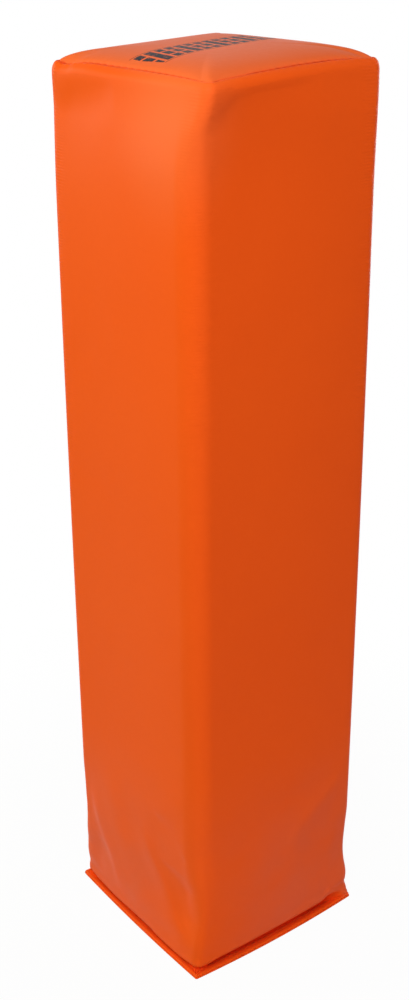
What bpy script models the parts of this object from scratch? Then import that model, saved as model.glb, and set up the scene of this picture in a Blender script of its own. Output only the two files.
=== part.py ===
"""Football end zone pylon: a foam core and a sand bag inside a sewn cover of vinyl-coated fabric.

Metres, +Z up. The origin is on the floor under the middle. The two sides seen in use face -Y and +X,
and the cover's closing seam runs up the far corner, at -X and +Y. Run it in Blender 4.5.
"""

import math
from collections import namedtuple

import bmesh
import bpy

# Driving dimensions
HEIGHT = 0.4572  # eighteen inches, floor to the top of the crown
FOAM_SIDE = 0.1016  # four inches square
COVER_PLY = 0.0007
BAG_PLY = 0.0006
GAP = 0.0003  # between pieces that touch in use

# Cover
COVER_HALF = 0.0524
COVER_CORNER = 0.005
MIDDLE_BULGE = 0.0005
SHOULDER = 0.0045
ALLOWANCE = 0.009  # cloth turned in at the top seam

# Top seam and crown
CROWN_HEIGHT = 0.0047
CROWN_POWER = 6.67
CROWN_SHARPNESS = 0.355
TOP_SEAM_Z = HEIGHT - CROWN_HEIGHT - 0.0014  # the crown's lean adds the rest
TOP_HALF = 0.0492
TOP_CORNER = 0.0022
TOP_DRAWN_IN = 0.0016  # the seam's sides are drawn in at their middles
TOP_SEAM_RISE = 0.0008  # and stand a little higher there
TOP_LEAN_X = -0.0055
TOP_LEAN_Y = 0.0279
TOP_TURN = math.radians(2.7)  # the sewn top sits slightly turned on the body
TOP_TURN_DEPTH = 0.022
TWIST_START = 0.428

# Foot of the cover, and the lip that its hem and the bottom panel make
BASE_TURN = math.radians(-3.07)
BASE_TURN_HEIGHT = 0.050
LIP_HALF = 0.0539
LIP_CORNER = 0.0012
LIP_BOW = 0.0014
LIP_LIFT = 0.0009  # the hem's edge stands off the bottom panel
PANEL_MARGIN = 0.0004  # the bottom panel's edge past the hem's
GROOVE_HALF = 0.0508
HEM_Z = 2 * COVER_PLY + GAP
FOLD_FADE = 0.03  # height over which a fold dies out above its top
EVEN_COLUMN = 0.0316  # the outer columns' place above the folds

# Back seam
SEAM_NOTCH = 0.0008
SEAM_RIB = 0.003
NOTCH_ANGLE = math.radians(5)

# Foam core
FOAM_BOTTOM = 0.060
FOAM_CORNER = 0.004
FOAM_BACK_CORNER = 0.011  # room for the back seam's turned-in cloth
FOAM_TOP_HALF = 0.0478
FOAM_BRIM_DROP = 0.0018  # the foam's top edge below the seam
FOAM_SHOULDER_DROP = 0.0112  # where the foam narrows, below the turned-in cloth
FOAM_STEP = 0.0012
CROWN_SHARES = (0.985, 0.95, 0.88, 0.76, 0.56, 0.28)

# Ballast bag
BAG_MIDDLE = 0.029
BAG_HALF = 0.0462
BAG_RIM = 0.003
BAG_CORNER = 0.010
BAG_POWER = 5.0
BAG_SHARPNESS = 0.42

ORANGE = (0.90, 0.13, 0.018, 1.0)
FOAM_GREY = (0.62, 0.63, 0.64, 1.0)
BAG_GREY = (0.20, 0.21, 0.22, 1.0)
SAND = (0.52, 0.41, 0.27, 1.0)

SIDE_COLUMNS = 5
BACK_CORNER = 1  # corners and sides run counter-clockwise, from +X +Y and from +X
NEAR_SIDE, RIGHT_SIDE, FAR_SIDE, LEFT_SIDE = 3, 0, 1, 2

# One level of a loft. rise is the share of the top's lean and bowed seam that it has.
Level = namedtuple("Level", "z half corner bow turn rise")

# A place on a ring: its corner, its outward direction, and how far along the side after the corner.
Station = namedtuple("Station", "corner angle along notch")

# A fold in the slack foot: its line's two ends, and how far out it stands or, below zero, lies in.
# u is positive to the right of a side's middle, seen from outside.
Fold = namedtuple("Fold", "top_u top_z low_u low_z out")
FOLDS = {
    NEAR_SIDE: (Fold(-0.042, 0.070, -0.024, 0.026, 0.0009), Fold(0.0115, 0.058, 0.0375, 0.020, 0.0009)),
    RIGHT_SIDE: (Fold(-0.030, 0.052, -0.036, 0.014, -0.0007), Fold(0.038, 0.080, 0.015, 0.056, 0.0006)),
    FAR_SIDE: (Fold(-0.040, 0.074, -0.020, 0.020, 0.0008), Fold(0.010, 0.064, 0.038, 0.018, 0.0008)),
    LEFT_SIDE: (Fold(-0.041, 0.066, -0.022, 0.022, 0.0008), Fold(0.006, 0.070, 0.035, 0.020, 0.0008)),
}


def smooth_step(value):
    """0 below 0, 1 above 1, and an easy curve between."""
    value = min(max(value, 0.0), 1.0)
    return value * value * (3 - 2 * value)


def turn_at(z):
    """The cover's turn at a height: the base one way, the top the other, the body straight."""
    base = BASE_TURN * (1 - smooth_step(z / BASE_TURN_HEIGHT))
    top = TOP_TURN * smooth_step((z - TOP_SEAM_Z + TOP_TURN_DEPTH) / TOP_TURN_DEPTH)
    return base + top


def level(z, half, corner, bow=0.0, turn=None, rise=0.0):
    return Level(z, half, corner, bow, turn_at(z) if turn is None else turn, rise)


def stations(arc_steps, columns, back_notch=False):
    """Places round a ring: each corner's arc, then the columns of the side after it."""
    found = []
    for corner in range(4):
        start = math.pi / 2 * corner
        notched = back_notch and corner == BACK_CORNER
        if notched:
            middle = start + math.pi / 4
            angles = [start, middle - NOTCH_ANGLE, middle, middle + NOTCH_ANGLE, start + math.pi / 2]
        else:
            angles = [start + math.pi / 2 * step / arc_steps for step in range(arc_steps + 1)]
        for number, angle in enumerate(angles):
            found.append(Station(corner, angle, None, notched and number == 2))
        for column in range(columns):
            along = 2 * (column + 1) / (columns + 1) - 1
            found.append(Station(corner, start + math.pi / 2, along, False))
    return found


def fold_columns(side, z, reach):
    """Where a side's five columns stand at a height: two of them run down the side's folds."""
    places = []
    for fold, even in zip(FOLDS[side], (-EVEN_COLUMN, EVEN_COLUMN / 2)):
        share = (fold.top_z - z) / (fold.top_z - fold.low_z)
        on_fold = fold.top_u + (fold.low_u - fold.top_u) * min(max(share, 0.0), 1.0)
        away = smooth_step((z - fold.top_z) / FOLD_FADE)
        places.append(on_fold + (even - on_fold) * away)
    left, right = places
    third = (right - left) / 3
    return [left, left + third, right - third, right, (right + reach) / 2]


def fold_out(fold, z):
    """How far a fold stands out or lies in at a height. It dies out at both ends."""
    above = smooth_step((fold.top_z + FOLD_FADE / 2 - z) / FOLD_FADE)
    below = smooth_step((z - fold.low_z / 3) / fold.low_z)
    return fold.out * above * below


def side_point(place, column, at, half, reach, folded):
    """A point on a side as (out, along, share of the middle) in the side's own directions."""
    along = reach * place.along
    stands_out = 0.0
    if folded:
        side = (place.corner + 1) % 4
        along = fold_columns(side, at.z, reach)[column]
        if column in (0, 3):
            stands_out = fold_out(FOLDS[side][column // 3], at.z)
    middle = max(1 - (along / reach) ** 2, 0.0)
    return half + at.bow * middle + stands_out, along, middle


def ring(places, at, inward=0.0, folded=False, notch=0.0, corners=None):
    """The points of one level. inward draws the outline in, as the cloth's thickness does."""
    half = at.half - inward
    points = []
    column = 0
    for place in places:
        radius = max((corners or {}).get(place.corner, at.corner) - inward, 0.0004)
        reach = half - radius
        normal_x, normal_y = math.cos(place.angle), math.sin(place.angle)
        if place.along is None:
            column = 0
            middle = 0.0
            diagonal = math.pi / 4 + math.pi / 2 * place.corner
            depth = radius - (notch if place.notch else 0.0)
            x = math.copysign(reach, math.cos(diagonal)) + depth * normal_x
            y = math.copysign(reach, math.sin(diagonal)) + depth * normal_y
        else:
            out, along, middle = side_point(place, column, at, half, reach, folded)
            column += 1
            x = out * normal_x - along * normal_y
            y = out * normal_y + along * normal_x
        turned_x = x * math.cos(at.turn) - y * math.sin(at.turn)
        turned_y = x * math.sin(at.turn) + y * math.cos(at.turn)
        lean = TOP_LEAN_X * turned_x + TOP_LEAN_Y * turned_y
        points.append((turned_x, turned_y, at.z + at.rise * (TOP_SEAM_RISE * middle + lean)))
    return points


def crown_rings(outline, shares, height, power, sharpness):
    """Rings that shrink from an outline, and swell like a filled cushion's face towards its middle."""
    middle_z = sum(point[2] for point in outline) / len(outline)
    rings = []
    for share in shares:
        points = []
        for x, y, z in outline:
            ratio = min(abs(x), abs(y)) / max(abs(x), abs(y))
            swell = ((1 - share**power) * (1 - (share * ratio) ** power)) ** sharpness
            level_z = middle_z + (z - middle_z) * share
            points.append((x * share, y * share, level_z + height * swell))
        rings.append(points)
    return rings


def add_band(mesh, lower, upper):
    """Faces between two rings of as many points."""
    count = len(lower)
    for here in range(count):
        following = (here + 1) % count
        mesh.faces.new((lower[here], lower[following], upper[following], upper[here]))


def loft(rings, closed_loop=False):
    """A solid through rings: its two ends are filled, or its last ring is joined to its first."""
    mesh = bmesh.new()
    made = [[mesh.verts.new(point) for point in points] for points in rings]
    for lower, upper in zip(made, made[1:]):
        add_band(mesh, lower, upper)
    if closed_loop:
        add_band(mesh, made[-1], made[0])
    else:
        mesh.faces.new(made[0])
        mesh.faces.new(made[-1])
    return mesh


def soft_material(name, colour, roughness):
    material = bpy.data.materials.new(name)
    material.use_nodes = True
    shader = material.node_tree.nodes["Principled BSDF"]
    shader.inputs["Base Color"].default_value = colour
    shader.inputs["Roughness"].default_value = roughness
    shader.inputs["Metallic"].default_value = 0.0
    return material


def make_object(name, mesh, material):
    """Turns a bmesh into a named object, smooth except along its sharp edges."""
    bmesh.ops.recalc_face_normals(mesh, faces=mesh.faces[:])
    data = bpy.data.meshes.new(name)
    mesh.to_mesh(data)
    mesh.free()
    data.shade_smooth()
    data.set_sharp_from_angle(angle=math.radians(40))
    data.materials.append(material)
    made = bpy.data.objects.new(name, data)
    bpy.context.scene.collection.objects.link(made)
    return made


def body_half(z):
    """The cover's half width up the body, fullest at mid-height."""
    middle = HEIGHT / 2
    return COVER_HALF + MIDDLE_BULGE * (1 - ((z - middle) / middle) ** 2)


def top_level(drop, half, share, corner):
    """A level at the top seam. share runs from 0 at the shoulder's start to 1 on the seam."""
    turn = turn_at(TOP_SEAM_Z - min(drop, SHOULDER))
    return level(TOP_SEAM_Z - drop, half, corner, -TOP_DRAWN_IN * share, turn, rise=1.0)


def make_sleeve(material):
    """The one-piece wrap: hem, groove, creased foot, four sides, shoulder and turned-in top edge.

    The right side runs from the hem's edge to the end of the turned-in cloth, and the wrong side
    comes back one ply behind it. Up the back corner the wrap's two edges are turned in and sewn
    together, which leaves a notch outside and a rib inside.
    """
    places = stations(3, SIDE_COLUMNS, back_notch=True)
    base = turn_at(0.0)
    on_seam = TOP_HALF + GAP / 2
    round_over = math.sqrt(0.5)
    on_shoulder = on_seam + (COVER_HALF - on_seam) * round_over
    shoulder_drop = SHOULDER * (1 - round_over)
    straight = [(z, body_half(z), 0.0) for z in (0.100, 0.130, 0.230, TWIST_START)]
    foot = [
        (0.0038, 0.0515, LIP_BOW),
        (0.010, 0.0523, 0.0016),
        (0.019, 0.0525, 0.0014),
        (0.031, 0.0521, 0.0010),
        (0.044, 0.0522, 0.0007),
        (0.060, 0.0524, 0.0004),
        (0.078, 0.0525, 0.0002),
    ]
    walls = [level(z, half, COVER_CORNER, bow) for z, half, bow in foot + straight]
    # Each profile entry is a level, then how far in and how far down its wrong side lies, in plies.
    profile = [
        (level(HEM_Z + LIP_LIFT, LIP_HALF, LIP_CORNER, LIP_BOW, base), 0.0, 1.0),
        (level(HEM_Z, GROOVE_HALF, COVER_CORNER, LIP_BOW, base), 1.0, 1.0),
    ]
    profile += [(wall, 1.0, 0.0) for wall in walls]
    profile += [
        (top_level(SHOULDER, COVER_HALF, 0.0, COVER_CORNER), 1.0, 0.0),
        (top_level(shoulder_drop, on_shoulder, 0.6, COVER_CORNER * 0.7), round_over, round_over),
        (top_level(0.0, on_seam, 1.0, TOP_CORNER), -1.0, 1.0),
        (top_level(ALLOWANCE, on_seam, 1.0, TOP_CORNER), -1.0, 0.0),
    ]
    first_wall, last_wall = 2, len(profile) - 4
    outside, inside = [], []
    for number, (at, inward, down) in enumerate(profile):
        sewn = first_wall <= number <= last_wall
        folded = number < last_wall
        outside.append(ring(places, at, 0.0, folded, SEAM_NOTCH if sewn else 0.0))
        behind = at._replace(z=at.z - COVER_PLY * down)
        rib = SEAM_RIB if first_wall < number < last_wall else 0.0
        inside.append(ring(places, behind, COVER_PLY * inward, folded, rib))
    return make_object("sleeve", loft(outside + inside[::-1], closed_loop=True), material)


def make_top_panel(material):
    """The crowned square on top, with its edge turned down inside the sleeve's."""
    places = stations(3, SIDE_COLUMNS)
    half = TOP_HALF - GAP / 2
    edge = ring(places, top_level(0.0, half, 1.0, TOP_CORNER))
    hanging = ring(places, top_level(ALLOWANCE, half, 1.0, TOP_CORNER))
    inner_edge = ring(places, top_level(COVER_PLY, half, 1.0, TOP_CORNER), COVER_PLY)
    inner_hanging = ring(places, top_level(ALLOWANCE, half, 1.0, TOP_CORNER), COVER_PLY)
    outer = [hanging, edge] + crown_rings(edge, CROWN_SHARES, CROWN_HEIGHT, CROWN_POWER, CROWN_SHARPNESS)
    inner = [inner_hanging, inner_edge]
    inner += crown_rings(inner_edge, CROWN_SHARES, CROWN_HEIGHT, CROWN_POWER, CROWN_SHARPNESS)
    return make_object("top_panel", loft(inner[::-1] + outer), material)


def make_bottom_panel(material):
    """The flat square underneath, which the whole pylon stands on."""
    places = stations(2, SIDE_COLUMNS)
    outline = level(0.0, LIP_HALF + PANEL_MARGIN, LIP_CORNER, LIP_BOW)
    under = ring(places, outline)
    over = ring(places, outline._replace(z=COVER_PLY))
    return make_object("bottom_panel", loft([under, over]), material)


def make_foam_core(material):
    """The four-inch block, narrowed at the top for the turned-in cloth and crowned under the panel."""
    places = stations(3, SIDE_COLUMNS)
    half = FOAM_SIDE / 2
    back = {BACK_CORNER: FOAM_BACK_CORNER}
    rings = [ring(places, level(z, half, FOAM_CORNER), corners=back) for z in (FOAM_BOTTOM, TWIST_START)]
    shoulder = level(TOP_SEAM_Z - FOAM_SHOULDER_DROP, half, FOAM_CORNER, rise=1.0)
    neck = top_level(FOAM_SHOULDER_DROP - FOAM_STEP, FOAM_TOP_HALF, 1.0, TOP_CORNER)
    brim = top_level(FOAM_BRIM_DROP, FOAM_TOP_HALF, 1.0, TOP_CORNER)
    rings += [ring(places, shoulder, corners=back), ring(places, neck), ring(places, brim)]
    rings += crown_rings(rings[-1], CROWN_SHARES, CROWN_HEIGHT, CROWN_POWER, CROWN_SHARPNESS)
    return make_object("foam_core", loft(rings), material)


def bag_face(places, half, middle_z, height, rim_z=None):
    """Rings of one face of the bag, from its rim's edge, where it has one, to near its middle."""
    edge = ring(places, level(middle_z, half, BAG_CORNER, turn=BASE_TURN / 2))
    rings = []
    if rim_z is not None:
        rings.append(ring(places, level(rim_z, half + BAG_RIM, BAG_CORNER, turn=BASE_TURN / 2)))
    rings.append(edge)
    return rings + crown_rings(edge, (0.97, 0.90, 0.78, 0.55), height, BAG_POWER, BAG_SHARPNESS)


def make_ballast(bag_material, sand_material):
    """The sand bag in the foot: two dished plies with their rims together, and the sand between."""
    places = stations(2, 3)
    top = FOAM_BOTTOM - GAP
    bottom = COVER_PLY + GAP
    for name, way, limit in (("ballast_bag_upper", 1, top), ("ballast_bag_lower", -1, bottom)):
        rim_inside = BAG_MIDDLE + way * GAP / 2
        rim_outside = rim_inside + way * BAG_PLY
        inner = bag_face(places, BAG_HALF - BAG_PLY, rim_inside, limit - way * BAG_PLY - rim_inside)
        inner.insert(0, ring(places, level(rim_inside, BAG_HALF + BAG_RIM, BAG_CORNER, turn=BASE_TURN / 2)))
        outer = bag_face(places, BAG_HALF, rim_outside, limit - rim_outside, rim_outside)
        make_object(name, loft(inner[::-1] + outer), bag_material)
    fill_half = BAG_HALF - BAG_PLY - 2 * GAP
    upper = bag_face(places, fill_half, BAG_MIDDLE, top - BAG_PLY - 2 * GAP - BAG_MIDDLE)
    lower = bag_face(places, fill_half, BAG_MIDDLE, bottom + BAG_PLY + 2 * GAP - BAG_MIDDLE)
    make_object("sand_fill", loft(lower[:0:-1] + upper), sand_material)


for existing in list(bpy.data.objects):
    bpy.data.objects.remove(existing)

cover_fabric = soft_material("cover_fabric", ORANGE, 0.42)
make_sleeve(cover_fabric)
make_top_panel(soft_material("top_fabric", ORANGE, 0.40))
make_bottom_panel(soft_material("base_fabric", ORANGE, 0.45))
make_foam_core(soft_material("foam", FOAM_GREY, 0.9))
make_ballast(soft_material("bag_fabric", BAG_GREY, 0.8), soft_material("sand", SAND, 0.95))
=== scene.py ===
"""Looks of the football field pylon: a coated-fabric cover sewn round a foam block and a sand bag.

Metres, in the frame's own axes. The two sides in view face -Y and +X, and the cover's closing seam
runs up the far corner, at -X and +Y.
"""

import math
from collections import namedtuple

import bpy
import numpy as np
from mathutils import Matrix, Vector


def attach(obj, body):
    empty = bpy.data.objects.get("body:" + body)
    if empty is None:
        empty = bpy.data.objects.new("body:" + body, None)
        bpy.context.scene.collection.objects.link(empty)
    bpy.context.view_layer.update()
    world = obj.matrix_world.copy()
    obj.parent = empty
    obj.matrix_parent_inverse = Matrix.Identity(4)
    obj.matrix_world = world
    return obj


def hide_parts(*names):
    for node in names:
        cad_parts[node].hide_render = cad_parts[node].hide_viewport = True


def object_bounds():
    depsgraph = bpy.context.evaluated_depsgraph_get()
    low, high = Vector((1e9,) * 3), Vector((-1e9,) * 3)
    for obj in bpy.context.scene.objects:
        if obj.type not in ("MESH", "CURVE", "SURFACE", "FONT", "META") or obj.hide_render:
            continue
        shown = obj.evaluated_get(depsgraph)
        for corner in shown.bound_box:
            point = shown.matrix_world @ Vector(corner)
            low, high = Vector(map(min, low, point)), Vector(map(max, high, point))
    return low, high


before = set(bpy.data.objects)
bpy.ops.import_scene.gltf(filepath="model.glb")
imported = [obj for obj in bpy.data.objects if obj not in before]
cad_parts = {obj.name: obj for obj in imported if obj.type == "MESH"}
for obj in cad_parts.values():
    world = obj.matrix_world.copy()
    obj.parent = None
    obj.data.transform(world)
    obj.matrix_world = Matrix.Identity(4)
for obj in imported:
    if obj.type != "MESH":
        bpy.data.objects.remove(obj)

cad_low, cad_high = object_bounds()

# Camera: stands in front of the corner between the two sides in view and looks a little down on
# the crowned top. It is a plain perspective camera, rolled by a third of a degree.
VIEW_AZIMUTH = math.radians(50.006)
VIEW_ELEVATION = math.radians(23.969)
VIEW_DISTANCE = 0.69559
VIEW_ROLL = math.radians(-0.342)
VIEW_LENS = 49.88
LOOKS_AT = Vector((0.0, 0.0, 0.231725))
ASIDE = -0.00496
UPWARD = 0.00709
NEAREST_SEEN = 0.01


def add_object(name, data):
    """Puts a new object in the scene."""
    made = bpy.data.objects.new(name, data)
    bpy.context.scene.collection.objects.link(made)
    return made


def aim_camera():
    """Places the camera from its angles and distance, with the picture's own right and up."""
    back = Vector((
        math.sin(VIEW_AZIMUTH) * math.cos(VIEW_ELEVATION),
        -math.cos(VIEW_AZIMUTH) * math.cos(VIEW_ELEVATION),
        math.sin(VIEW_ELEVATION),
    ))
    level_right = (-back).cross(Vector((0.0, 0.0, 1.0))).normalized()
    level_up = level_right.cross(-back)
    right = math.cos(VIEW_ROLL) * level_right + math.sin(VIEW_ROLL) * level_up
    up = math.cos(VIEW_ROLL) * level_up - math.sin(VIEW_ROLL) * level_right
    camera = add_object("camera", bpy.data.cameras.new("camera"))
    camera.data.lens = VIEW_LENS
    camera.data.clip_start = NEAREST_SEEN
    camera.rotation_euler = Matrix((right, up, back)).transposed().to_euler()
    camera.location = LOOKS_AT + back * VIEW_DISTANCE + right * ASIDE + up * UPWARD
    bpy.context.scene.camera = camera


aim_camera()

# Sleeve: one piece of coated fabric wrapped round all four sides. Its foot is slack over the sand
# bag and overhangs the lip, its hem lies out flat on the bottom panel, and its top is turned in.
HEIGHT = cad_high.z
PLY = 0.0007
GAP = 0.0003
BODY_HALF = 0.0524
BODY_CORNER = 0.005
BODY_BULGE = 0.0005
NEAR, RIGHT, FAR, LEFT = 3, 0, 1, 2  # sides, counter-clockwise from +X
# Each corner has the number of the side before it.
LEFT_CORNER, FRONT_CORNER, RIGHT_CORNER, BACK_CORNER = 2, 3, 0, 1
BASE_TURN = math.radians(-3.07)
BASE_TURN_HEIGHT = 0.050
TOP_TURN = math.radians(2.7)
TOP_TURN_DEPTH = 0.022
SEAM_Z = HEIGHT - 0.0061
SEAM_HALF = 0.0492
SEAM_CORNER = 0.0022
SEAM_DRAWN_IN = 0.0016
SEAM_RISE = 0.0008
SEAM_LEAN = (-0.0055, 0.0279)
RISE_START = 0.400  # where the walls start to lean with the top seam
TOP_SHIFT = (0.0005, 0.0006)
TOP_SHIFT_START = 0.39
TOP_SHIFT_DEPTH = 0.06
SHOULDER = 0.0045
SHOULDER_BEND = math.radians(75)
SHOULDER_SLOPE = math.radians(25)  # the shoulder's slope where it meets the seam
ROLL = 0.00075  # radius at which it turns down into the seam
ALLOWANCE = 0.009
LIP_HALF = 0.0537
LIP_CORNER = 0.0009
# The hem, turned under along the lip and sewn: (height, half width) from the turned edge's underside,
# over its rounded edge, and down into the groove behind it.
HEM = (
    (0.00075, 0.0523), (0.00072, 0.0529), (0.00080, 0.0534), (0.00100, 0.0537), (0.00126, 0.0537),
    (0.00150, 0.0535), (0.00164, 0.0531), (0.00168, 0.0526), (0.00160, 0.0521), (0.00144, 0.0517),
    (0.00126, 0.0512), (0.00115, 0.0506), (0.00112, 0.0500), (0.00112, 0.0492),
)
TURNED_ROWS = 7  # of the hem, which have no wrong side of their own
GROOVE_HALF = HEM[-1][1]
GROOVE_Z = HEM[-1][0]
WALL_START = 0.0120  # above the curled-under foot
WALL_END = SEAM_Z - SHOULDER - 0.0008
FINE_STEP = 0.0013  # between two rows of the walls, up to FOLDED_TO and from FINE_FROM on
EVEN_STEP = 0.0050
FOLDED_TO = 0.105
FINE_FROM = 0.420
BOW_START = 0.004  # above it the walls lose the lip's bow
BOW_FADE = 0.085
SIDE_COLUMNS = 83
COLUMNS_TO_A_STITCH = 4
ARC = tuple(90 * step / 8 for step in range(9))
BACK_ARC = (0, 15, 27, 35, 39, 42, 45, 48, 51, 55, 63, 75, 90)
BACK_NOTCH = 0.0008
BACK_NOTCH_WIDTH = 5.0  # degrees
# Along each side, from its left end to its right, as (millimetres from its middle, value).
LIP_BOW = {NEAR: 1.1, RIGHT: 1.9, FAR: 1.3, LEFT: 1.3}  # millimetres at the middle
FOOT_HEIGHT = {  # underside of the overhanging foot, in millimetres
    NEAR: (
        (-52, 3.2), (-40, 2.9), (-26, 2.7), (-14, 3.2), (0, 3.8),
        (12, 3.9), (20, 2.7), (38, 2.4), (52, 3.2),
    ),
    RIGHT: ((-52, 3.4), (-44, 4.6), (-20, 5.4), (0, 5.8), (22, 5.6), (35, 5.4), (44, 7.0), (52, 6.0)),
    FAR: ((-52, 6.0), (-30, 3.9), (10, 4.3), (52, 3.4)),
    LEFT: ((-52, 3.4), (-20, 4.2), (20, 3.4), (52, 3.2)),
}
EAR = {  # 1 where the foot is drawn out over the lip's corner instead of curling under
    NEAR: ((-52, 0.55), (-48, 0.25), (-44, 0), (47, 0), (52, 0.3)),
    RIGHT: ((-52, 0.3), (-48, 0), (43, 0), (48, 0.5), (52, 1)),
    FAR: ((-52, 1), (-47, 0.5), (-41, 0), (47, 0), (52, 0.4)),
    LEFT: ((-52, 0.4), (-47, 0), (46, 0), (52, 0.55)),
}
SEAM_OPEN = {  # how far the top seam gapes between its stitches
    NEAR: ((-52, 0.6), (-44, 1), (-20, 1), (0, 0.8), (30, 0.6), (46, 0.35), (52, 0.1)),
    RIGHT: ((-52, 0.1), (-31, 0.1), (-25, 0.7), (0, 1), (45, 1), (52, 0.5)),
    FAR: ((-52, 0.5), (0, 0.9), (52, 0.5)),
    LEFT: ((-52, 0.5), (0, 0.9), (52, 0.6)),
}
SEAM_LIFT = {  # how much higher the top seam runs, in millimetres
    NEAR: ((-52, 0.3), (-48.5, -0.8), (-44, -0.8), (-38, 0.1), (-28, 0.4), (-14, 0.1), (0, 0), (52, 0)),
    RIGHT: ((-52, 0), (20, 0), (38, -0.4), (52, -1.0)),
    FAR: ((-52, -1.0), (0, 0.15), (25, 0.15), (52, 0.6)),
    LEFT: ((-52, 0.5), (-38, 0.1), (-15, -0.9), (20, -0.9), (44, 0), (52, 0.3)),
}


def ease(share):
    """0 below 0, 1 above 1, and an easy curve between."""
    share = np.clip(share, 0.0, 1.0)
    return share * share * (3 - 2 * share)


def curve_through(knots, places):
    """A smooth curve through (place, value) knots, read at many places, with no overshoot."""
    knot_at, knot_value = (np.array(column, float) for column in zip(*knots))
    grade = np.diff(knot_value) / np.diff(knot_at)
    same_way = grade[:-1] * grade[1:] > 0
    together = np.where(same_way, grade[:-1] + grade[1:], 1)
    between = np.where(same_way, 2 * grade[:-1] * grade[1:] / together, 0.0)
    slope = np.concatenate([[0.0], between, [0.0]])
    places = np.clip(places, knot_at[0], knot_at[-1])
    here = np.clip(np.searchsorted(knot_at, places, side="right") - 1, 0, len(knot_at) - 2)
    span = knot_at[here + 1] - knot_at[here]
    share = (places - knot_at[here]) / span
    low, high = knot_value[here], knot_value[here + 1]
    leaving = slope[here] * span * share * (1 - share) ** 2
    arriving = slope[here + 1] * span * share ** 2 * (share - 1)
    return low + (high - low) * ease(share) + leaving + arriving


def turn_at(z):
    """The cover's turn at a height: the sewn base one way, the sewn top the other."""
    base = BASE_TURN * (1 - ease(z / BASE_TURN_HEIGHT))
    return base + TOP_TURN * ease((z - SEAM_Z + TOP_TURN_DEPTH) / TOP_TURN_DEPTH)


Stations = namedtuple("Stations", "angle diagonal along on_side side off_notch column")


def stations(columns, arcs):
    """Places round a ring: each corner's arc and then the columns of the side after it."""
    rows = []
    for corner in range(4):
        start = 90.0 * corner
        for angle in arcs.get(corner, ARC):
            rows.append((start + angle, start + 45, 0.0, 0, corner, angle - 45, 0))
        for column in range(columns):
            share = 2 * (column + 1) / (columns + 1) - 1
            rows.append((start + 90, start + 45, share, 1, (corner + 1) % 4, 90, column + 1))
    angle, diagonal, along, on_side, side, off_notch, column = (np.array(row) for row in zip(*rows))
    return Stations(np.radians(angle), np.radians(diagonal), along, on_side == 1, side, off_notch, column)


def by_station(places, by_side):
    """A value at each station from each side's knots, and across a corner from one side to the next."""
    span = BODY_HALF * 1000
    values = np.zeros(len(places.angle))
    for side in range(4):
        here = (places.side == side) & places.on_side
        values[here] = curve_through(by_side[side], places.along[here] * span)
        corner = (places.side == side) & ~places.on_side
        left, right = curve_through(by_side[side], span), curve_through(by_side[(side + 1) % 4], -span)
        values[corner] = left + (right - left) * ease(np.degrees(places.angle[corner]) / 90 - side)
    return values


def per_level(value):
    """One value for each level as a column, or a whole table of levels and stations as it is."""
    value = np.asarray(value, float)
    return value if value.ndim == 2 else np.atleast_1d(value)[:, None]


def rings(places, z, half, corner, bow=0.0, turn=0.0, rise=0.0, push=0.0):
    """Points of many levels at once. A value is one number, one for each level, or one for each point.

    push moves a point out along its side's direction. rise is the share of the top's lean, bow and lift.
    """
    z, half, corner, bow, turn, rise = (per_level(value) for value in (z, half, corner, bow, turn, rise))
    reach = half - corner
    normal_x, normal_y = np.cos(places.angle), np.sin(places.angle)
    middle = np.where(places.on_side, 1 - places.along ** 2, 0.0)
    out = np.where(places.on_side, half + bow * middle, corner) + push
    slide = reach * places.along
    corner_x, corner_y = np.sign(np.cos(places.diagonal)), np.sign(np.sin(places.diagonal))
    x = out * normal_x + np.where(places.on_side, -slide * normal_y, reach * corner_x)
    y = out * normal_y + np.where(places.on_side, slide * normal_x, reach * corner_y)
    turned_x = x * np.cos(turn) - y * np.sin(turn)
    turned_y = x * np.sin(turn) + y * np.cos(turn)
    lean = SEAM_LEAN[0] * turned_x + SEAM_LEAN[1] * turned_y
    height = z + rise * (SEAM_RISE * middle + lean + by_station(places, SEAM_LIFT) / 1000)
    aside = ease((z - TOP_SHIFT_START) / TOP_SHIFT_DEPTH)
    placed = (turned_x + TOP_SHIFT[0] * aside, turned_y + TOP_SHIFT[1] * aside, height)
    return np.stack(np.broadcast_arrays(*placed), axis=-1)


def facing(levels):
    """The outward direction at every point of a stack of rings."""
    round_ring = np.roll(levels, -1, axis=1) - np.roll(levels, 1, axis=1)
    up_the_stack = np.gradient(levels, axis=0)
    direction = np.cross(round_ring, up_the_stack)
    return direction / np.maximum(np.linalg.norm(direction, axis=2, keepdims=True), 1e-12)


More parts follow.
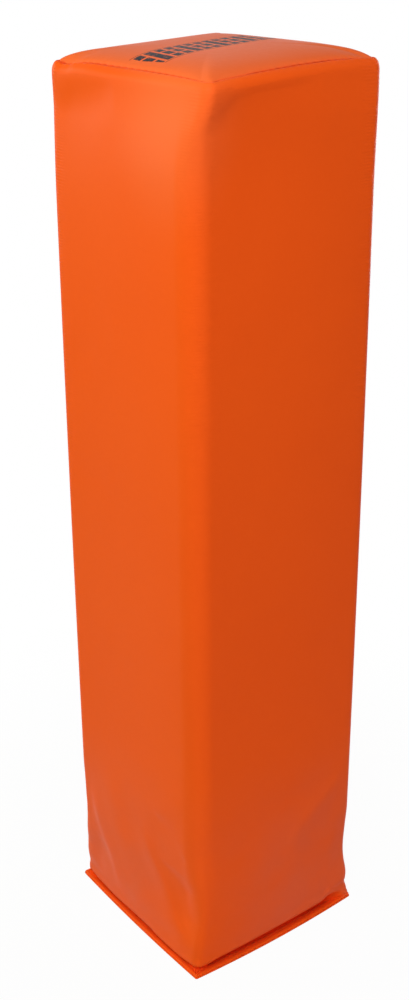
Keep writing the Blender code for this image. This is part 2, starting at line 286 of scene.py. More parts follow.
def skin(name, levels, material, closed_loop=False, across=None, sharp=50, groove=None):
    """A mesh through rings of points, with a map in real metres along and across the cloth.

    closed_loop joins the last ring to the first. Otherwise both ends are filled. across is the ring
    that the map is measured along, sharp the angle in degrees from which an edge stays sharp, and
    groove how deep in a seam each point lies, from 0 to 1.
    """
    count = levels.shape[1]
    rows = len(levels)
    grid = np.arange(rows * count).reshape(rows, count)
    if closed_loop:
        grid = np.vstack([grid, grid[:1]])
    beside = np.roll(grid, -1, axis=1)
    quads = np.stack([grid[:-1], beside[:-1], beside[1:], grid[1:]], axis=-1).reshape(-1, 4)
    faces = quads.tolist()
    widest = levels[np.argmax(np.abs(levels).sum(axis=(1, 2)))] if across is None else across
    steps = np.linalg.norm(np.diff(np.vstack([widest, widest[:1]]), axis=0), axis=1)
    u = np.concatenate([[0.0], np.cumsum(steps)])
    along = np.linalg.norm(np.diff(np.concatenate([levels, levels[:1]]), axis=0), axis=2).mean(axis=1)
    v = np.concatenate([[0.0], np.cumsum(along)])[: len(grid)]
    cell_row, cell_column = np.divmod(np.arange(len(quads)), count)
    map_u = np.stack([u[cell_column], u[cell_column + 1], u[cell_column + 1], u[cell_column]], axis=-1)
    map_v = np.stack([v[cell_row], v[cell_row], v[cell_row + 1], v[cell_row + 1]], axis=-1)
    cloth_map = np.stack([map_u, map_v], axis=-1).reshape(-1, 2)
    if not closed_loop:
        faces += [grid[0, ::-1].tolist(), grid[-1].tolist()]
        ends = np.concatenate([levels[0, ::-1, :2], levels[-1, :, :2]])
        cloth_map = np.concatenate([cloth_map, ends])
    data = bpy.data.meshes.new(name)
    data.from_pydata(levels.reshape(-1, 3).tolist(), [], faces)
    layer = data.uv_layers.new(name="cloth")
    layer.data.foreach_set("uv", cloth_map.astype(np.float32).ravel())
    if groove is not None:
        depths = data.attributes.new("groove", "FLOAT", "POINT")
        depths.data.foreach_set("value", groove.astype(np.float32).ravel())
    data.shade_smooth()
    data.set_sharp_from_angle(angle=math.radians(sharp))
    data.materials.append(material)
    return add_object(name, data)


def node(tree, kind, inputs=None, **settings):
    """Adds a node. An input is a value, or the socket that it is linked from."""
    made = tree.nodes.new(kind)
    for name, value in settings.items():
        setattr(made, name, value)
    for socket, value in (inputs or {}).items():
        if isinstance(value, bpy.types.NodeSocket):
            tree.links.new(value, made.inputs[socket])
        else:
            made.inputs[socket].default_value = value
    return made


def maths(tree, operation, *values):
    """A Math node's result."""
    return node(tree, "ShaderNodeMath", dict(enumerate(values)), operation=operation).outputs[0]


def times(tree, first, second):
    """Two values multiplied."""
    return maths(tree, "MULTIPLY", first, second)


def vector_maths(tree, operation, *values):
    """A Vector Math node's outputs."""
    return node(tree, "ShaderNodeVectorMath", dict(enumerate(values)), operation=operation).outputs


def ramp(tree, value, start, end, low=0.0, high=1.0, way="LINEAR"):
    """Goes from low to high as a value goes from start to end, and stays level beyond them."""
    inputs = {"Value": value, "From Min": start, "From Max": end, "To Min": low, "To Max": high}
    return node(tree, "ShaderNodeMapRange", inputs, interpolation_type=way).outputs["Result"]


def mix(tree, share, low, high):
    """Goes from one colour to another as share goes from 0 to 1."""
    return node(tree, "ShaderNodeMix", {0: share, 6: low, 7: high}, data_type="RGBA").outputs[2]


def own_place(tree):
    """Where a point lies, in the object's own axes."""
    return node(tree, "ShaderNodeTexCoord").outputs["Object"]


def parts_of(tree, vector):
    """A vector's X, Y and Z."""
    return node(tree, "ShaderNodeSeparateXYZ", {"Vector": vector}).outputs


def noise(tree, place, scale, detail, roughness=0.5):
    """Cloudy noise: the larger its scale, the smaller its clouds."""
    inputs = {"Vector": place, "Scale": scale, "Detail": detail, "Roughness": roughness}
    return node(tree, "ShaderNodeTexNoise", inputs).outputs["Fac"]


def groove_depth(tree):
    """How deep in a seam a point lies, from 0 to 1."""
    return node(tree, "ShaderNodeAttribute", attribute_name="groove").outputs["Fac"]


def raise_surface(tree, shader, height, distance):
    """Gives a shader its relief: a height, and how far out a height of 1 stands."""
    bump = node(tree, "ShaderNodeBump", {"Height": height, "Strength": 1.0, "Distance": distance})
    tree.links.new(bump.outputs["Normal"], shader.inputs["Normal"])


def new_group(name, inputs, outputs, group_kind="ShaderNodeTree"):
    """A node group with its sockets, and the nodes that hold them."""
    group = bpy.data.node_groups.new(name, group_kind)
    for label, kind, value in inputs:
        socket = group.interface.new_socket(name=label, in_out="INPUT", socket_type="NodeSocket" + kind)
        if value is not None:
            socket.default_value = value
    for label, kind in outputs:
        group.interface.new_socket(name=label, in_out="OUTPUT", socket_type="NodeSocket" + kind)
    return group, group.nodes.new("NodeGroupInput").outputs, group.nodes.new("NodeGroupOutput")


RIB_WAVER = 4.0  # how far the ribs and the threads wander, in radians of their waves
THREAD_WAVER = 6.0
CROSSING = 0.35  # how high the threads' crossings stand, beside the ribs and the grain
RIB = 0.5
GRAIN = 0.8
FAINT_RIBS = 0.25  # what is left of the weave where it shows least


def make_cloth_ribs():
    """The base cloth pressing through its coating: ribs across the cloth, finer threads along it."""
    group, given, result = new_group(
        "cloth ribs",
        [
            ("Rib pitch", "Float", 0.0014), ("Thread pitch", "Float", 0.0009),
            ("Grain size", "Float", 0.0006),
        ],
        [("Height", "Float")],
    )
    split = parts_of(group, node(group, "ShaderNodeUVMap", uv_map="cloth").outputs["UV"])
    place = own_place(group)
    waver = noise(group, place, scale=60.0, detail=2.0)
    along = maths(group, "DIVIDE", times(group, split["Y"], 2 * math.pi), given["Rib pitch"])
    across = maths(group, "DIVIDE", times(group, split["X"], 2 * math.pi), given["Thread pitch"])
    ribs = maths(group, "SINE", maths(group, "MULTIPLY_ADD", waver, RIB_WAVER, along))
    threads = maths(group, "SINE", maths(group, "MULTIPLY_ADD", waver, THREAD_WAVER, across))
    weave = maths(group, "MULTIPLY_ADD", times(group, ribs, threads), CROSSING, times(group, ribs, RIB))
    shown = ramp(group, noise(group, place, scale=34.0, detail=3.0), 0.0, 1.0, low=FAINT_RIBS)
    grain = noise(group, place, scale=maths(group, "DIVIDE", 1.0, given["Grain size"]), detail=4.0)
    height = maths(group, "MULTIPLY_ADD", weave, shown, times(group, grain, GRAIN))
    group.links.new(height, result.inputs["Height"])
    return group


MOTTLE = 0.35  # the mottling's share of the drift, beside the clouds
DRIFT_RANGE = (0.35, 0.65)  # of the noise, from the plain colour to the deep one


def make_tone_drift():
    """Slow changes of a dyed or moulded colour: broad clouds and small mottling."""
    group, given, result = new_group(
        "tone drift",
        [
            ("Colour", "Color", (1, 1, 1, 1)), ("Deep colour", "Color", (1, 1, 1, 1)),
            ("Drift", "Float", 0.5),
        ],
        [("Colour", "Color"), ("Mottle", "Float")],
    )
    place = own_place(group)
    clouds = noise(group, place, scale=14.0, detail=3.0)
    mottle = noise(group, place, scale=420.0, detail=5.0)
    mixed = maths(group, "MULTIPLY_ADD", mottle, MOTTLE, times(group, clouds, 1 - MOTTLE))
    share = times(group, ramp(group, mixed, *DRIFT_RANGE), given["Drift"])
    group.links.new(mix(group, share, given["Colour"], given["Deep colour"]), result.inputs["Colour"])
    group.links.new(mottle, result.inputs["Mottle"])
    return group


STREAK_TURN = (0.5, 0.3, 0.7)
STREAK_STRETCH = (1, 9, 1.5)
STREAK_RANGE = (0.56, 0.72)  # of the noise, from no streak to a full one
SCUFF_RANGE = (0.45, 0.7)


def make_handling_marks():
    """Faint scuffs and worn streaks, as a mask: 1 where the surface has been worn."""
    group, given, result = new_group(
        "handling marks",
        [("Size", "Float", 0.03), ("Amount", "Float", 0.3)],
        [("Mask", "Float")],
    )
    place = own_place(group)
    slant = {"Vector": place, "Rotation": STREAK_TURN, "Scale": STREAK_STRETCH}
    slanted = node(group, "ShaderNodeMapping", slant).outputs[0]
    scale = maths(group, "DIVIDE", 1.0, given["Size"])
    thin = ramp(group, noise(group, slanted, scale=scale, detail=6.0, roughness=0.7), *STREAK_RANGE)
    here = ramp(group, noise(group, place, scale=18.0, detail=1.0), *SCUFF_RANGE)
    mask = times(group, times(group, thin, here), given["Amount"])
    group.links.new(mask, result.inputs["Mask"])
    return group


def make_taut_corners():
    """A mask of the upright corners' upper parts, where the cloth is pulled tight and its ribs show."""
    group, given, result = new_group(
        "taut corners",
        [
            ("Starts", "Float", 0.037), ("Full", "Float", 0.048),
            ("Low", "Float", 0.16), ("High", "Float", 0.30),
        ],
        [("Mask", "Float")],
    )
    split = parts_of(group, own_place(group))
    off_x, off_y = (maths(group, "ABSOLUTE", split[axis]) for axis in "XY")
    near = ramp(group, maths(group, "MINIMUM", off_x, off_y), given["Starts"], given["Full"])
    high = ramp(group, split["Z"], given["Low"], given["High"])
    group.links.new(times(group, near, high), result.inputs["Mask"])
    return group


def make_soft_spot():
    """A mask that is 1 at a place of the object and fades to 0 at its reach from there."""
    group, given, result = new_group(
        "soft spot",
        [("Centre", "Vector", (0.0, 0.0, 0.0)), ("Reach", "Vector", (0.05, 0.05, 0.05))],
        [("Mask", "Float")],
    )
    away = vector_maths(group, "SUBTRACT", own_place(group), given["Centre"])["Vector"]
    shares = vector_maths(group, "DIVIDE", away, given["Reach"])["Vector"]
    far = vector_maths(group, "LENGTH", shares)["Value"]
    fade = ramp(group, far, 0.0, 1.0, low=1.0, high=0.0, way="SMOOTHSTEP")
    group.links.new(fade, result.inputs["Mask"])
    return group


soft_spot = make_soft_spot()
cloth_ribs = make_cloth_ribs()
taut_corners = make_taut_corners()
tone_drift = make_tone_drift()
handling_marks = make_handling_marks()


def use_group(tree, group, inputs):
    """Puts a node group in a tree, and gives its outputs."""
    return node(tree, "ShaderNodeGroup", inputs, node_tree=group).outputs


def blank_material(name):
    """A new material, with its tree and its surface shader."""
    material = bpy.data.materials.new(name)
    material.use_nodes = True
    return material, material.node_tree, material.node_tree.nodes["Principled BSDF"]


def new_material(name, colour, deep, drift, roughness):
    """A material whose colour drifts between two, with its tree, its shader and its tone."""
    material, tree, shader = blank_material(name)
    tone = use_group(tree, tone_drift, {"Colour": colour, "Deep colour": deep, "Drift": drift})
    tree.links.new(tone["Colour"], shader.inputs["Base Color"])
    shader.inputs["Roughness"].default_value = roughness
    return material, tree, shader, tone


# Painted highlight: a paler orange laid over the near wall's upper front corner, fading out from this
# place.
HIGHLIGHT_AT = (0.034, -0.060, 0.443)
HIGHLIGHT_REACH = (0.046, 0.040, 0.068)
PAINTED_HIGHLIGHT = 0.34
HIGHLIGHT_ORANGE = (0.97, 0.23, 0.085, 1.0)
# Painted sheen: a duller, pinker colour over the slack foot stands in for the white floor's reflection.
# It is full low down, fades upward, and is left off round this place at the front corner's foot.
SHEENLESS_AT = (0.046, -0.056, 0.02)
SHEENLESS_REACH = (0.060, 0.060, 0.14)
FOOT_SHEEN = 0.24
FOOT_SHEEN_FULL = 0.02  # up to this height the painted sheen lies full, and it ends at the top
FOOT_SHEEN_TOP = 0.125
FOOT_SHEEN_RANGE = (0.3, 0.6)  # of the noise, from thin dust to full
THIN_FOOT_SHEEN = 0.5
FOOT_SHEEN_OFF_GROOVE = 0.2  # how deep in a seam the painted sheen ends
FOOT_SHEEN_COLOUR = (0.52, 0.16, 0.13, 1.0)
# Painted shade: the deeper a point lies in a seam or in the groove behind the lip, the more its colour
# turns to this dark red.
GROOVE_SHADE_RED = (0.78, 0.038, 0.006, 1.0)
GROOVE_SHADE = 0.85
GROOVE_DULL = 0.45
FABRIC_DRIFT = 0.55
MOTTLED = 0.06  # how much smoother and rougher the mottling makes it
SCUFFED = 0.12  # how much rougher a scuff makes it
SLACK_RIBS = 0.06  # how much of the ribs shows where the cloth isn't taut
ORANGE = (0.93, 0.109, 0.0095, 1.0)
DEEP_ORANGE = (0.90, 0.099, 0.0085, 1.0)


def coated_fabric(name, colour, deep, rib_depth, roughness, shine):
    """Vinyl-coated cloth: the weave shows faintly through a satin skin that is scuffed here and there.

    Its colour turns to a dark red in the seams as painted shade. The colour's socket is given too, for
    what is laid over it.
    """
    material, tree, shader, tone = new_material(name, colour, deep, FABRIC_DRIFT, roughness)
    marks = use_group(tree, handling_marks, {"Size": 0.03, "Amount": 0.5})["Mask"]
    deep_in = groove_depth(tree)
    # Painted shade: the colour darkens to a red with the depth in a seam.
    seam_shaded = mix(tree, times(tree, deep_in, GROOVE_SHADE), tone["Colour"], GROOVE_SHADE_RED)
    tree.links.new(seam_shaded, shader.inputs["Base Color"])
    mottled = maths(tree, "MULTIPLY_ADD", tone["Mottle"], 2 * MOTTLED, roughness - MOTTLED)
    worn = maths(tree, "MULTIPLY_ADD", marks, SCUFFED, mottled)
    dull = maths(tree, "MULTIPLY_ADD", deep_in, GROOVE_DULL, worn)
    tree.links.new(dull, shader.inputs["Roughness"])
    shader.inputs["Specular IOR Level"].default_value = shine
    taut = use_group(tree, taut_corners, {})["Mask"]
    ribs = use_group(tree, cloth_ribs, {})["Height"]
    shown = ramp(tree, taut, 0.0, 1.0, low=SLACK_RIBS)
    raise_surface(tree, shader, times(tree, ribs, shown), rib_depth)
    return material, tree, shader, seam_shaded


def fabric_with_painted_sheen(name):
    """The sleeve's cloth, with a painted highlight at its upper front corner and painted sheen over its
    slack foot.
    """
    material, tree, shader, base = coated_fabric(
        name, ORANGE, DEEP_ORANGE, rib_depth=0.00009, roughness=0.34, shine=0.0275
    )
    # Painted highlight at the upper front corner.
    highlight_spot = use_group(tree, soft_spot, {"Centre": HIGHLIGHT_AT, "Reach": HIGHLIGHT_REACH})["Mask"]
    highlighted = mix(tree, times(tree, highlight_spot, PAINTED_HIGHLIGHT), base, HIGHLIGHT_ORANGE)
    # Painted sheen over the foot: full at the bottom, fading upward in patches, left off at the front
    # corner and in the seams.
    place = own_place(tree)
    z = parts_of(tree, place)["Z"]
    low = ramp(tree, z, FOOT_SHEEN_FULL, FOOT_SHEEN_TOP, low=1.0, high=0.0, way="SMOOTHSTEP")
    drifts = ramp(tree, noise(tree, place, scale=40.0, detail=5.0), *FOOT_SHEEN_RANGE, low=THIN_FOOT_SHEEN)
    sheenless = use_group(tree, soft_spot, {"Centre": SHEENLESS_AT, "Reach": SHEENLESS_REACH})["Mask"]
    sheen_spread = times(tree, times(tree, low, drifts), maths(tree, "SUBTRACT", 1.0, sheenless))
    off_groove = ramp(tree, groove_depth(tree), 0.0, FOOT_SHEEN_OFF_GROOVE, low=1.0, high=0.0)
    foot_sheen = times(tree, times(tree, sheen_spread, off_groove), FOOT_SHEEN)
    tree.links.new(mix(tree, foot_sheen, highlighted, FOOT_SHEEN_COLOUR), shader.inputs["Base Color"])
    return material


sleeve_fabric = fabric_with_painted_sheen("sleeve coated fabric")

# A fold of the cloth: its line from left to right as (u, z) in millimetres, how far out it stands or,
# below zero, lies in, and how far it reaches above and below its line.
Fold = namedtuple("Fold", "line out above below")
FOLDS = {
    NEAR: [
        Fold(((-48, 73), (-38, 56), (-29, 40), (-21, 27), (-14, 12)), 0.8, 8.0, 4.5),
        Fold(((-42, 16), (-34, 38)), -0.5, 7.0, 7.0),
        Fold(((5, 69), (12, 55), (22, 43), (33, 24), (49, 12)), 0.9, 3.6, 9.0),
        Fold(((20, 86), (28, 60), (40, 36), (54, 22)), -1.7, 11.0, 9.0),
        Fold(((-24, 96), (-22, 62), (-8, 34), (8, 14)), 0.8, 11.0, 12.0),
        Fold(((25, 58), (44, 69)), -0.6, 3.5, 3.0),
        Fold(((35, 44), (54, 55)), -0.65, 3.5, 3.0),
        Fold(((40, 30), (52, 37)), -0.55, 3.0, 3.0),
        Fold(((18, 84), (32, 97), (46, 104)), 0.4, 7.0, 8.0),
        Fold(((20, 4), (34, 10), (50, 18)), 0.4, 3.0, 3.5),
        Fold(((-54, 318), (-20, 323)), -0.25, 5.0, 9.0),
        Fold(((-54, 257), (-15, 262)), -0.2, 5.0, 9.0),
        Fold(((-50, 434), (-26, 437), (-6, 442)), -0.5, 6.0, 9.0),
        Fold(((-20, 425), (0, 430), (40, 415)), 0.2, 9.0, 9.0),
    ],
    RIGHT: [
        Fold(((4, 46), (14, 64), (28, 73), (39, 79), (50, 95)), 0.7, 5.0, 7.0),
        Fold(((49, 66), (45, 56), (43, 38)), 0.6, 3.5, 5.0),
        Fold(((-50, 20), (-30, 34), (-10, 36)), 0.3, 5.0, 6.0),
        Fold(((-53, 430), (-44, 436), (-35, 442), (-22, 444), (14, 445)), -0.55, 3.5, 7.0),
        Fold(((20, 425), (48, 410)), -0.2, 14.0, 14.0),
    ],
    FAR: [
        Fold(((-44, 74), (-34, 44), (-20, 20)), 0.7, 4.0, 10.0),
        Fold(((8, 64), (28, 34), (42, 17)), 0.7, 4.5, 9.0),
        Fold(((22, 60), (50, 76)), 0.4, 4.0, 5.0),
        Fold(((-50, 300), (-18, 306)), -0.2, 5.0, 9.0),
    ],
    LEFT: [
        Fold(((-46, 66), (-32, 42), (-22, 22)), 0.7, 4.0, 10.0),
        Fold(((4, 70), (24, 42), (36, 20)), 0.7, 4.5, 9.0),
        Fold(((26, 48), (50, 60)), 0.4, 4.0, 4.5),
        Fold(((-48, 362), (-12, 366)), -0.2, 5.0, 9.0),
    ],
}
# How far each upright corner stands out or lies in at a height: pairs of (z, out) in millimetres.
CORNER_SLACK = {
    LEFT_CORNER: (
        (0, 0), (8, -0.2), (20, 0.4), (34, 0.4), (46, -0.3), (58, -0.7), (70, -0.4), (84, 0), (457, 0),
    ),
    FRONT_CORNER: ((0, 0), (12, 0.1), (30, -0.2), (60, 0), (457, 0)),
    RIGHT_CORNER: ((0, 0), (8, 0.6), (15, 1.1), (24, -0.2), (34, -0.7), (46, -0.3), (60, 0.2), (457, 0)),
    BACK_CORNER: ((0, 0), (12, 0), (34, -1.0), (60, 0), (457, 0)),
}
CORNER_REACH = 0.012  # along a side, for what its corners do
FOLDS_AT_EDGE = 0.25  # the share of its folds that a side keeps at its ends
# The front corner bends wider than the others, and lies to the left.
FRONT_BEND = 0.0110
FRONT_SHIFT = 0.0036
FRONT_SHIFT_REACH = 0.066
FRONT_BEND_SHARE = ((30, 0), (80, 1), (408, 1), (446, 0))  # (height in millimetres, share)
# How deep a fold can lie in at a height: the foam stops it above the slack foot.
DENT_LIMIT = ((0.0, 0.0030), (0.048, 0.0024), (0.058, 0.0006), (HEIGHT, 0.0006))
SLACK_RIPPLES = 26
ripple_chance = np.random.default_rng(41)


def fold_out(fold, u, z):
    """How far out one fold puts the cloth at each place of a side, in metres."""
    line = np.array(fold.line, float) / 1000
    lengths = np.linalg.norm(np.diff(line, axis=0), axis=1)
    nearest = np.full(u.shape, np.inf)
    signed = np.zeros(u.shape)
    share = np.zeros(u.shape)
    before = 0.0
    for start, end, length in zip(line, line[1:], lengths):
        way_u, way_z = (end - start) / length
        along = np.clip((u - start[0]) * way_u + (z - start[1]) * way_z, 0.0, length)
        off_u, off_z = u - start[0] - along * way_u, z - start[1] - along * way_z
        distance = np.hypot(off_u, off_z)
        closer = distance < nearest
        signed = np.where(closer, np.copysign(distance, way_u * off_z - way_z * off_u), signed)
        share = np.where(closer, (before + along) / lengths.sum(), share)
        nearest = np.minimum(nearest, distance)
        before += length
    reach = np.where(signed > 0, fold.above, fold.below) / 1000
    taper = 1 - np.abs(2 * share - 1) ** 3
    return fold.out / 1000 * taper * np.exp(-(signed / reach) ** 2)


def chance_ripples():
    """Small slack ripples that lie nearly level, for one side."""
    ripples = []
    for _ in range(SLACK_RIPPLES):
        u, z = ripple_chance.uniform(-40, 40), ripple_chance.uniform(30, 430)
        half_length, slope = ripple_chance.uniform(10, 26), ripple_chance.uniform(-0.3, 0.3)
        out = ripple_chance.uniform(-0.14, 0.14)
        width = ripple_chance.uniform(4, 11)
        line = ((u - half_length, z - slope * half_length), (u + half_length, z + slope * half_length))
        ripples.append(Fold(line, out, width, width))
    return ripples


def cover_push(places, z, half):
    """How far the cover's outside stands off its even shape, at every level and station."""
    z_row = np.asarray(z, float)[:, None]
    half = np.asarray(half, float)[:, None]
    push = np.zeros((len(z_row), len(places.angle)))
    reach = half - BODY_CORNER
    for side in (RIGHT, FAR, LEFT, NEAR):
        on = places.on_side & (places.side == side)
        u = reach * places.along[on]
        height = np.broadcast_to(z_row, u.shape)
        total = sum(fold_out(fold, u, height) for fold in FOLDS[side] + chance_ripples())
        edge = ease((reach - np.abs(u)) / CORNER_REACH)
        from_left = curve_through(CORNER_SLACK[(side - 1) % 4], height * 1000) / 1000
        from_right = curve_through(CORNER_SLACK[side], height * 1000) / 1000
        beside_left = 1 - ease((u + reach) / CORNER_REACH)
        beside_right = 1 - ease((reach - u) / CORNER_REACH)
        folded = total * (FOLDS_AT_EDGE + (1 - FOLDS_AT_EDGE) * edge)
        push[:, on] = folded + from_left * beside_left + from_right * beside_right
    for corner in range(4):
        on = ~places.on_side & (places.side == corner)
        slack = curve_through(CORNER_SLACK[corner], z_row * 1000) / 1000
        before = np.flatnonzero(places.on_side & (places.side == corner))[-1]
        after = np.flatnonzero(places.on_side & (places.side == (corner + 1) % 4))[0]
        quarter = np.degrees(places.angle[on]) - 90 * corner
        left_over = push[:, before:before + 1] - slack
        right_over = push[:, after:after + 1] - slack
        push[:, on] = slack + left_over * (1 - ease(quarter / 45)) + right_over * ease(quarter / 45 - 1)
    deepest = curve_through(DENT_LIMIT, z_row)
    return np.where(push < 0, -deepest * np.tanh(-push / deepest), push)


def body_half(z):
    """The cover's half width: a little slacker at its foot, and fullest at mid-height."""
    middle = HEIGHT / 2
    even = BODY_HALF + BODY_BULGE * (1 - ((z - middle) / middle) ** 2)
    slack = ((0.0, 0.0), (0.010, 0.0), (0.019, 0.0001), (0.031, -0.0003), (0.044, -0.0002), (0.060, 0.0))
    return even + curve_through(slack, z)


def lip_bow(places):
    """How much fuller the lip and the foot are towards the middle of each side."""
    return np.array([LIP_BOW[side] for side in places.side])[None, :] / 1000


HEM_RIPPLE = 0.00015
HEM_RIPPLES = 7
FINER_RIPPLE = 0.6  # beside the broader one
FINER_RIPPLES = 2.3
RIPPLED_ABOVE = 0.0009  # only the hem's upper side ripples and puckers
PUCKER = 0.00035
PUCKERS = 3
PUCKERED_ABOVE = 0.0011
TUCK_UP = 0.0001  # where the foot starts, from the groove's floor
TUCK_IN = 0.0003
EAR_HALF = 0.0531
EAR_UP = 0.0006  # where an ear starts, from the groove's floor
EAR_POWER = 1.3
EAR_LIFT = 0.0005
SCALLOP = 0.0003
SCALLOPS = 3
# The overhanging foot, as (height above its underside, how far out from the wall's face).
FOOT_CURL = (
    (0.0012, -0.0028), (0.0003, -0.0020), (0.0, -0.0012), (0.0003, -0.0005),
    (0.0010, -0.0001), (0.0020, 0.00015), (0.0034, 0.00015), (0.0050, 0.0),
)
SHOULDER_ROWS = 8
ROLL_ROWS = 5
HANG_ROWS = 3
HANG_START = 0.002
SEAM_GAPE = 0.00055
GAPE_AT_STITCH = 0.35
GAPE_POWER = 6  # the higher, the nearer to the seam the shoulder starts to gape
ROLL_GROOVE = (0.1, 0.5, 0.9, 1.0, 1.0)  # how deep each row of the roll lies in the seam
SHUT_SHADE = 0.35  # of the groove's depth that is left where the seam is shut
HEM_GROOVE_STARTS = 5  # the row of the hem from which it sinks into the seam
HEM_SHADE = 0.2  # how deep the rows before it count as, for the seam's painted shade
FOOT_GROOVE = (1.0, 1.0, 0.9, 0.7, 0.4, 0.1, 0.0, 0.0, 0.0)
WRONG_SIDE_STEP = 4  # of the walls' rows, one in so many is enough for the wrong side


def foot_rings(places):
    """The hem, the groove behind it, and the foot that overhangs it.

    At a corner the foot is drawn out over the lip as an ear instead.
    """
    foot = by_station(places, FOOT_HEIGHT)[None, :] / 1000
    ear = by_station(places, EAR)[None, :]
    body = body_half(np.array([WALL_START]))[0]
    even = np.ones_like(foot)
    hem_z, hem_half = (np.array(column)[:, None] * even for column in zip(*HEM))
    edge_share = (hem_half - GROOVE_HALF) / (LIP_HALF - GROOVE_HALF)
    wave = places.along * HEM_RIPPLES * math.pi
    finer_wave = np.sin(FINER_RIPPLES * wave + 2 * places.side)
    lift = HEM_RIPPLE * (np.sin(wave + places.side) + FINER_RIPPLE * finer_wave)
    hem_z = hem_z + lift * edge_share ** 2 * (hem_z > RIPPLED_ABOVE)
    fan = PUCKER * np.cos(PUCKERS * 4 * (places.angle - places.diagonal))
    fan = np.where(places.on_side, 0.0, fan) * (places.side == FRONT_CORNER)
    hem_z = hem_z + fan * np.sin(math.pi * edge_share) * (hem_z > PUCKERED_ABOVE)
    hem_corner = BODY_CORNER + (LIP_CORNER - BODY_CORNER) * edge_share
    curl_z = np.concatenate([even * GROOVE_Z + TUCK_UP] + [foot + up for up, _ in FOOT_CURL])
    tucked = even * (GROOVE_HALF - TUCK_IN)
    curl_half = np.concatenate([tucked] + [even * (body + out) for _, out in FOOT_CURL])
    rise = np.linspace(0.0, 1.0, len(curl_z) + 2)[1:-1, None]
    ear_half = EAR_HALF + (body - EAR_HALF) * rise ** EAR_POWER
    ear_z = GROOVE_Z + EAR_UP + (WALL_START - GROOVE_Z - EAR_UP) * rise
    scallop = SCALLOP * np.abs(np.sin(math.pi * rise * SCALLOPS))
    curl_z = curl_z * (1 - ear) + ear_z * ear
    curl_half = curl_half * (1 - ear) + (ear_half + scallop * (1 - rise)) * ear
    curl_corner = BODY_CORNER + (LIP_CORNER - BODY_CORNER) * (1 - rise) * ear
    hem_drawn = ear * np.clip((EAR_HALF - hem_half) / (EAR_HALF - GROOVE_HALF), 0, 1)
    hem_half = hem_half + (EAR_HALF - hem_half) * np.where(hem_drawn > 0, ear, 0)
    hem_z = hem_z + EAR_LIFT * hem_drawn
    hem_corner = hem_corner + (LIP_CORNER - hem_corner) * np.where(hem_drawn > 0, ear, 0)
    z = np.concatenate([hem_z, curl_z])
    half = np.concatenate([hem_half, curl_half])
    corner = np.concatenate([hem_corner, curl_corner])
    return rings(places, z, half, corner, lip_bow(places), np.full(len(z), BASE_TURN))


def bend_line(across, radius):
    """How far in front of a square corner a corner bent to a radius lies, across its diagonal."""
    arc = np.sqrt(np.maximum(radius ** 2 - across ** 2, 0.0)) - radius * math.sqrt(2)
    return np.where(np.abs(across) < radius / math.sqrt(2), arc, -np.abs(across))


def bend_front(levels):
    """Bends the front corner wider than the others, and sets it to the left, as on the worn cover."""
    ahead = (levels[..., 0] - levels[..., 1]) / math.sqrt(2)
    across = (levels[..., 0] + levels[..., 1]) / math.sqrt(2)
    share = curve_through(FRONT_BEND_SHARE, levels[..., 2] * 1000) * (ahead > 0)
    wider = share * (bend_line(across, BODY_CORNER) - bend_line(across, FRONT_BEND))
    aside = share * FRONT_SHIFT * (1 - ease(np.abs(across) / FRONT_SHIFT_REACH))
    ahead, across = ahead - wider, across - aside
    x, y = (across + ahead) / math.sqrt(2), (across - ahead) / math.sqrt(2)
    return np.stack([x, y, levels[..., 2]], axis=-1)


def wall_rings(places):
    """The four walls from above the foot to below the shoulder, with their folds and slack corners."""
    heights = np.concatenate([
        np.arange(WALL_START, FOLDED_TO, FINE_STEP),
        np.arange(FOLDED_TO, FINE_FROM, EVEN_STEP),
        np.arange(FINE_FROM, WALL_END, FINE_STEP),
    ])
    half = body_half(heights)
    bow = lip_bow(places) * (1 - ease((heights - BOW_START) / BOW_FADE))[:, None]
    notch = BACK_NOTCH * np.exp(-(places.off_notch / BACK_NOTCH_WIDTH) ** 2)
    notch = np.where(~places.on_side & (places.side == BACK_CORNER), notch, 0.0)
    push = cover_push(places, heights, half) - notch
    rise = ease((heights - RISE_START) / (SEAM_Z - SHOULDER - RISE_START))
    return bend_front(rings(places, heights, half, BODY_CORNER, bow, turn_at(heights), rise, push))


def off_stitch(places):
    """0 at a stitch of the top seam, and 1 midway between two."""
    return 0.5 - 0.5 * np.cos(2 * math.pi * places.column / COLUMNS_TO_A_STITCH)


def seam_gap(places):
    """Half the width of the top seam's groove: it gapes between its stitches."""
    gape = SEAM_GAPE * off_stitch(places) + SEAM_GAPE * GAPE_AT_STITCH
    return GAP / 4 + by_station(places, SEAM_OPEN)[None, :] * gape


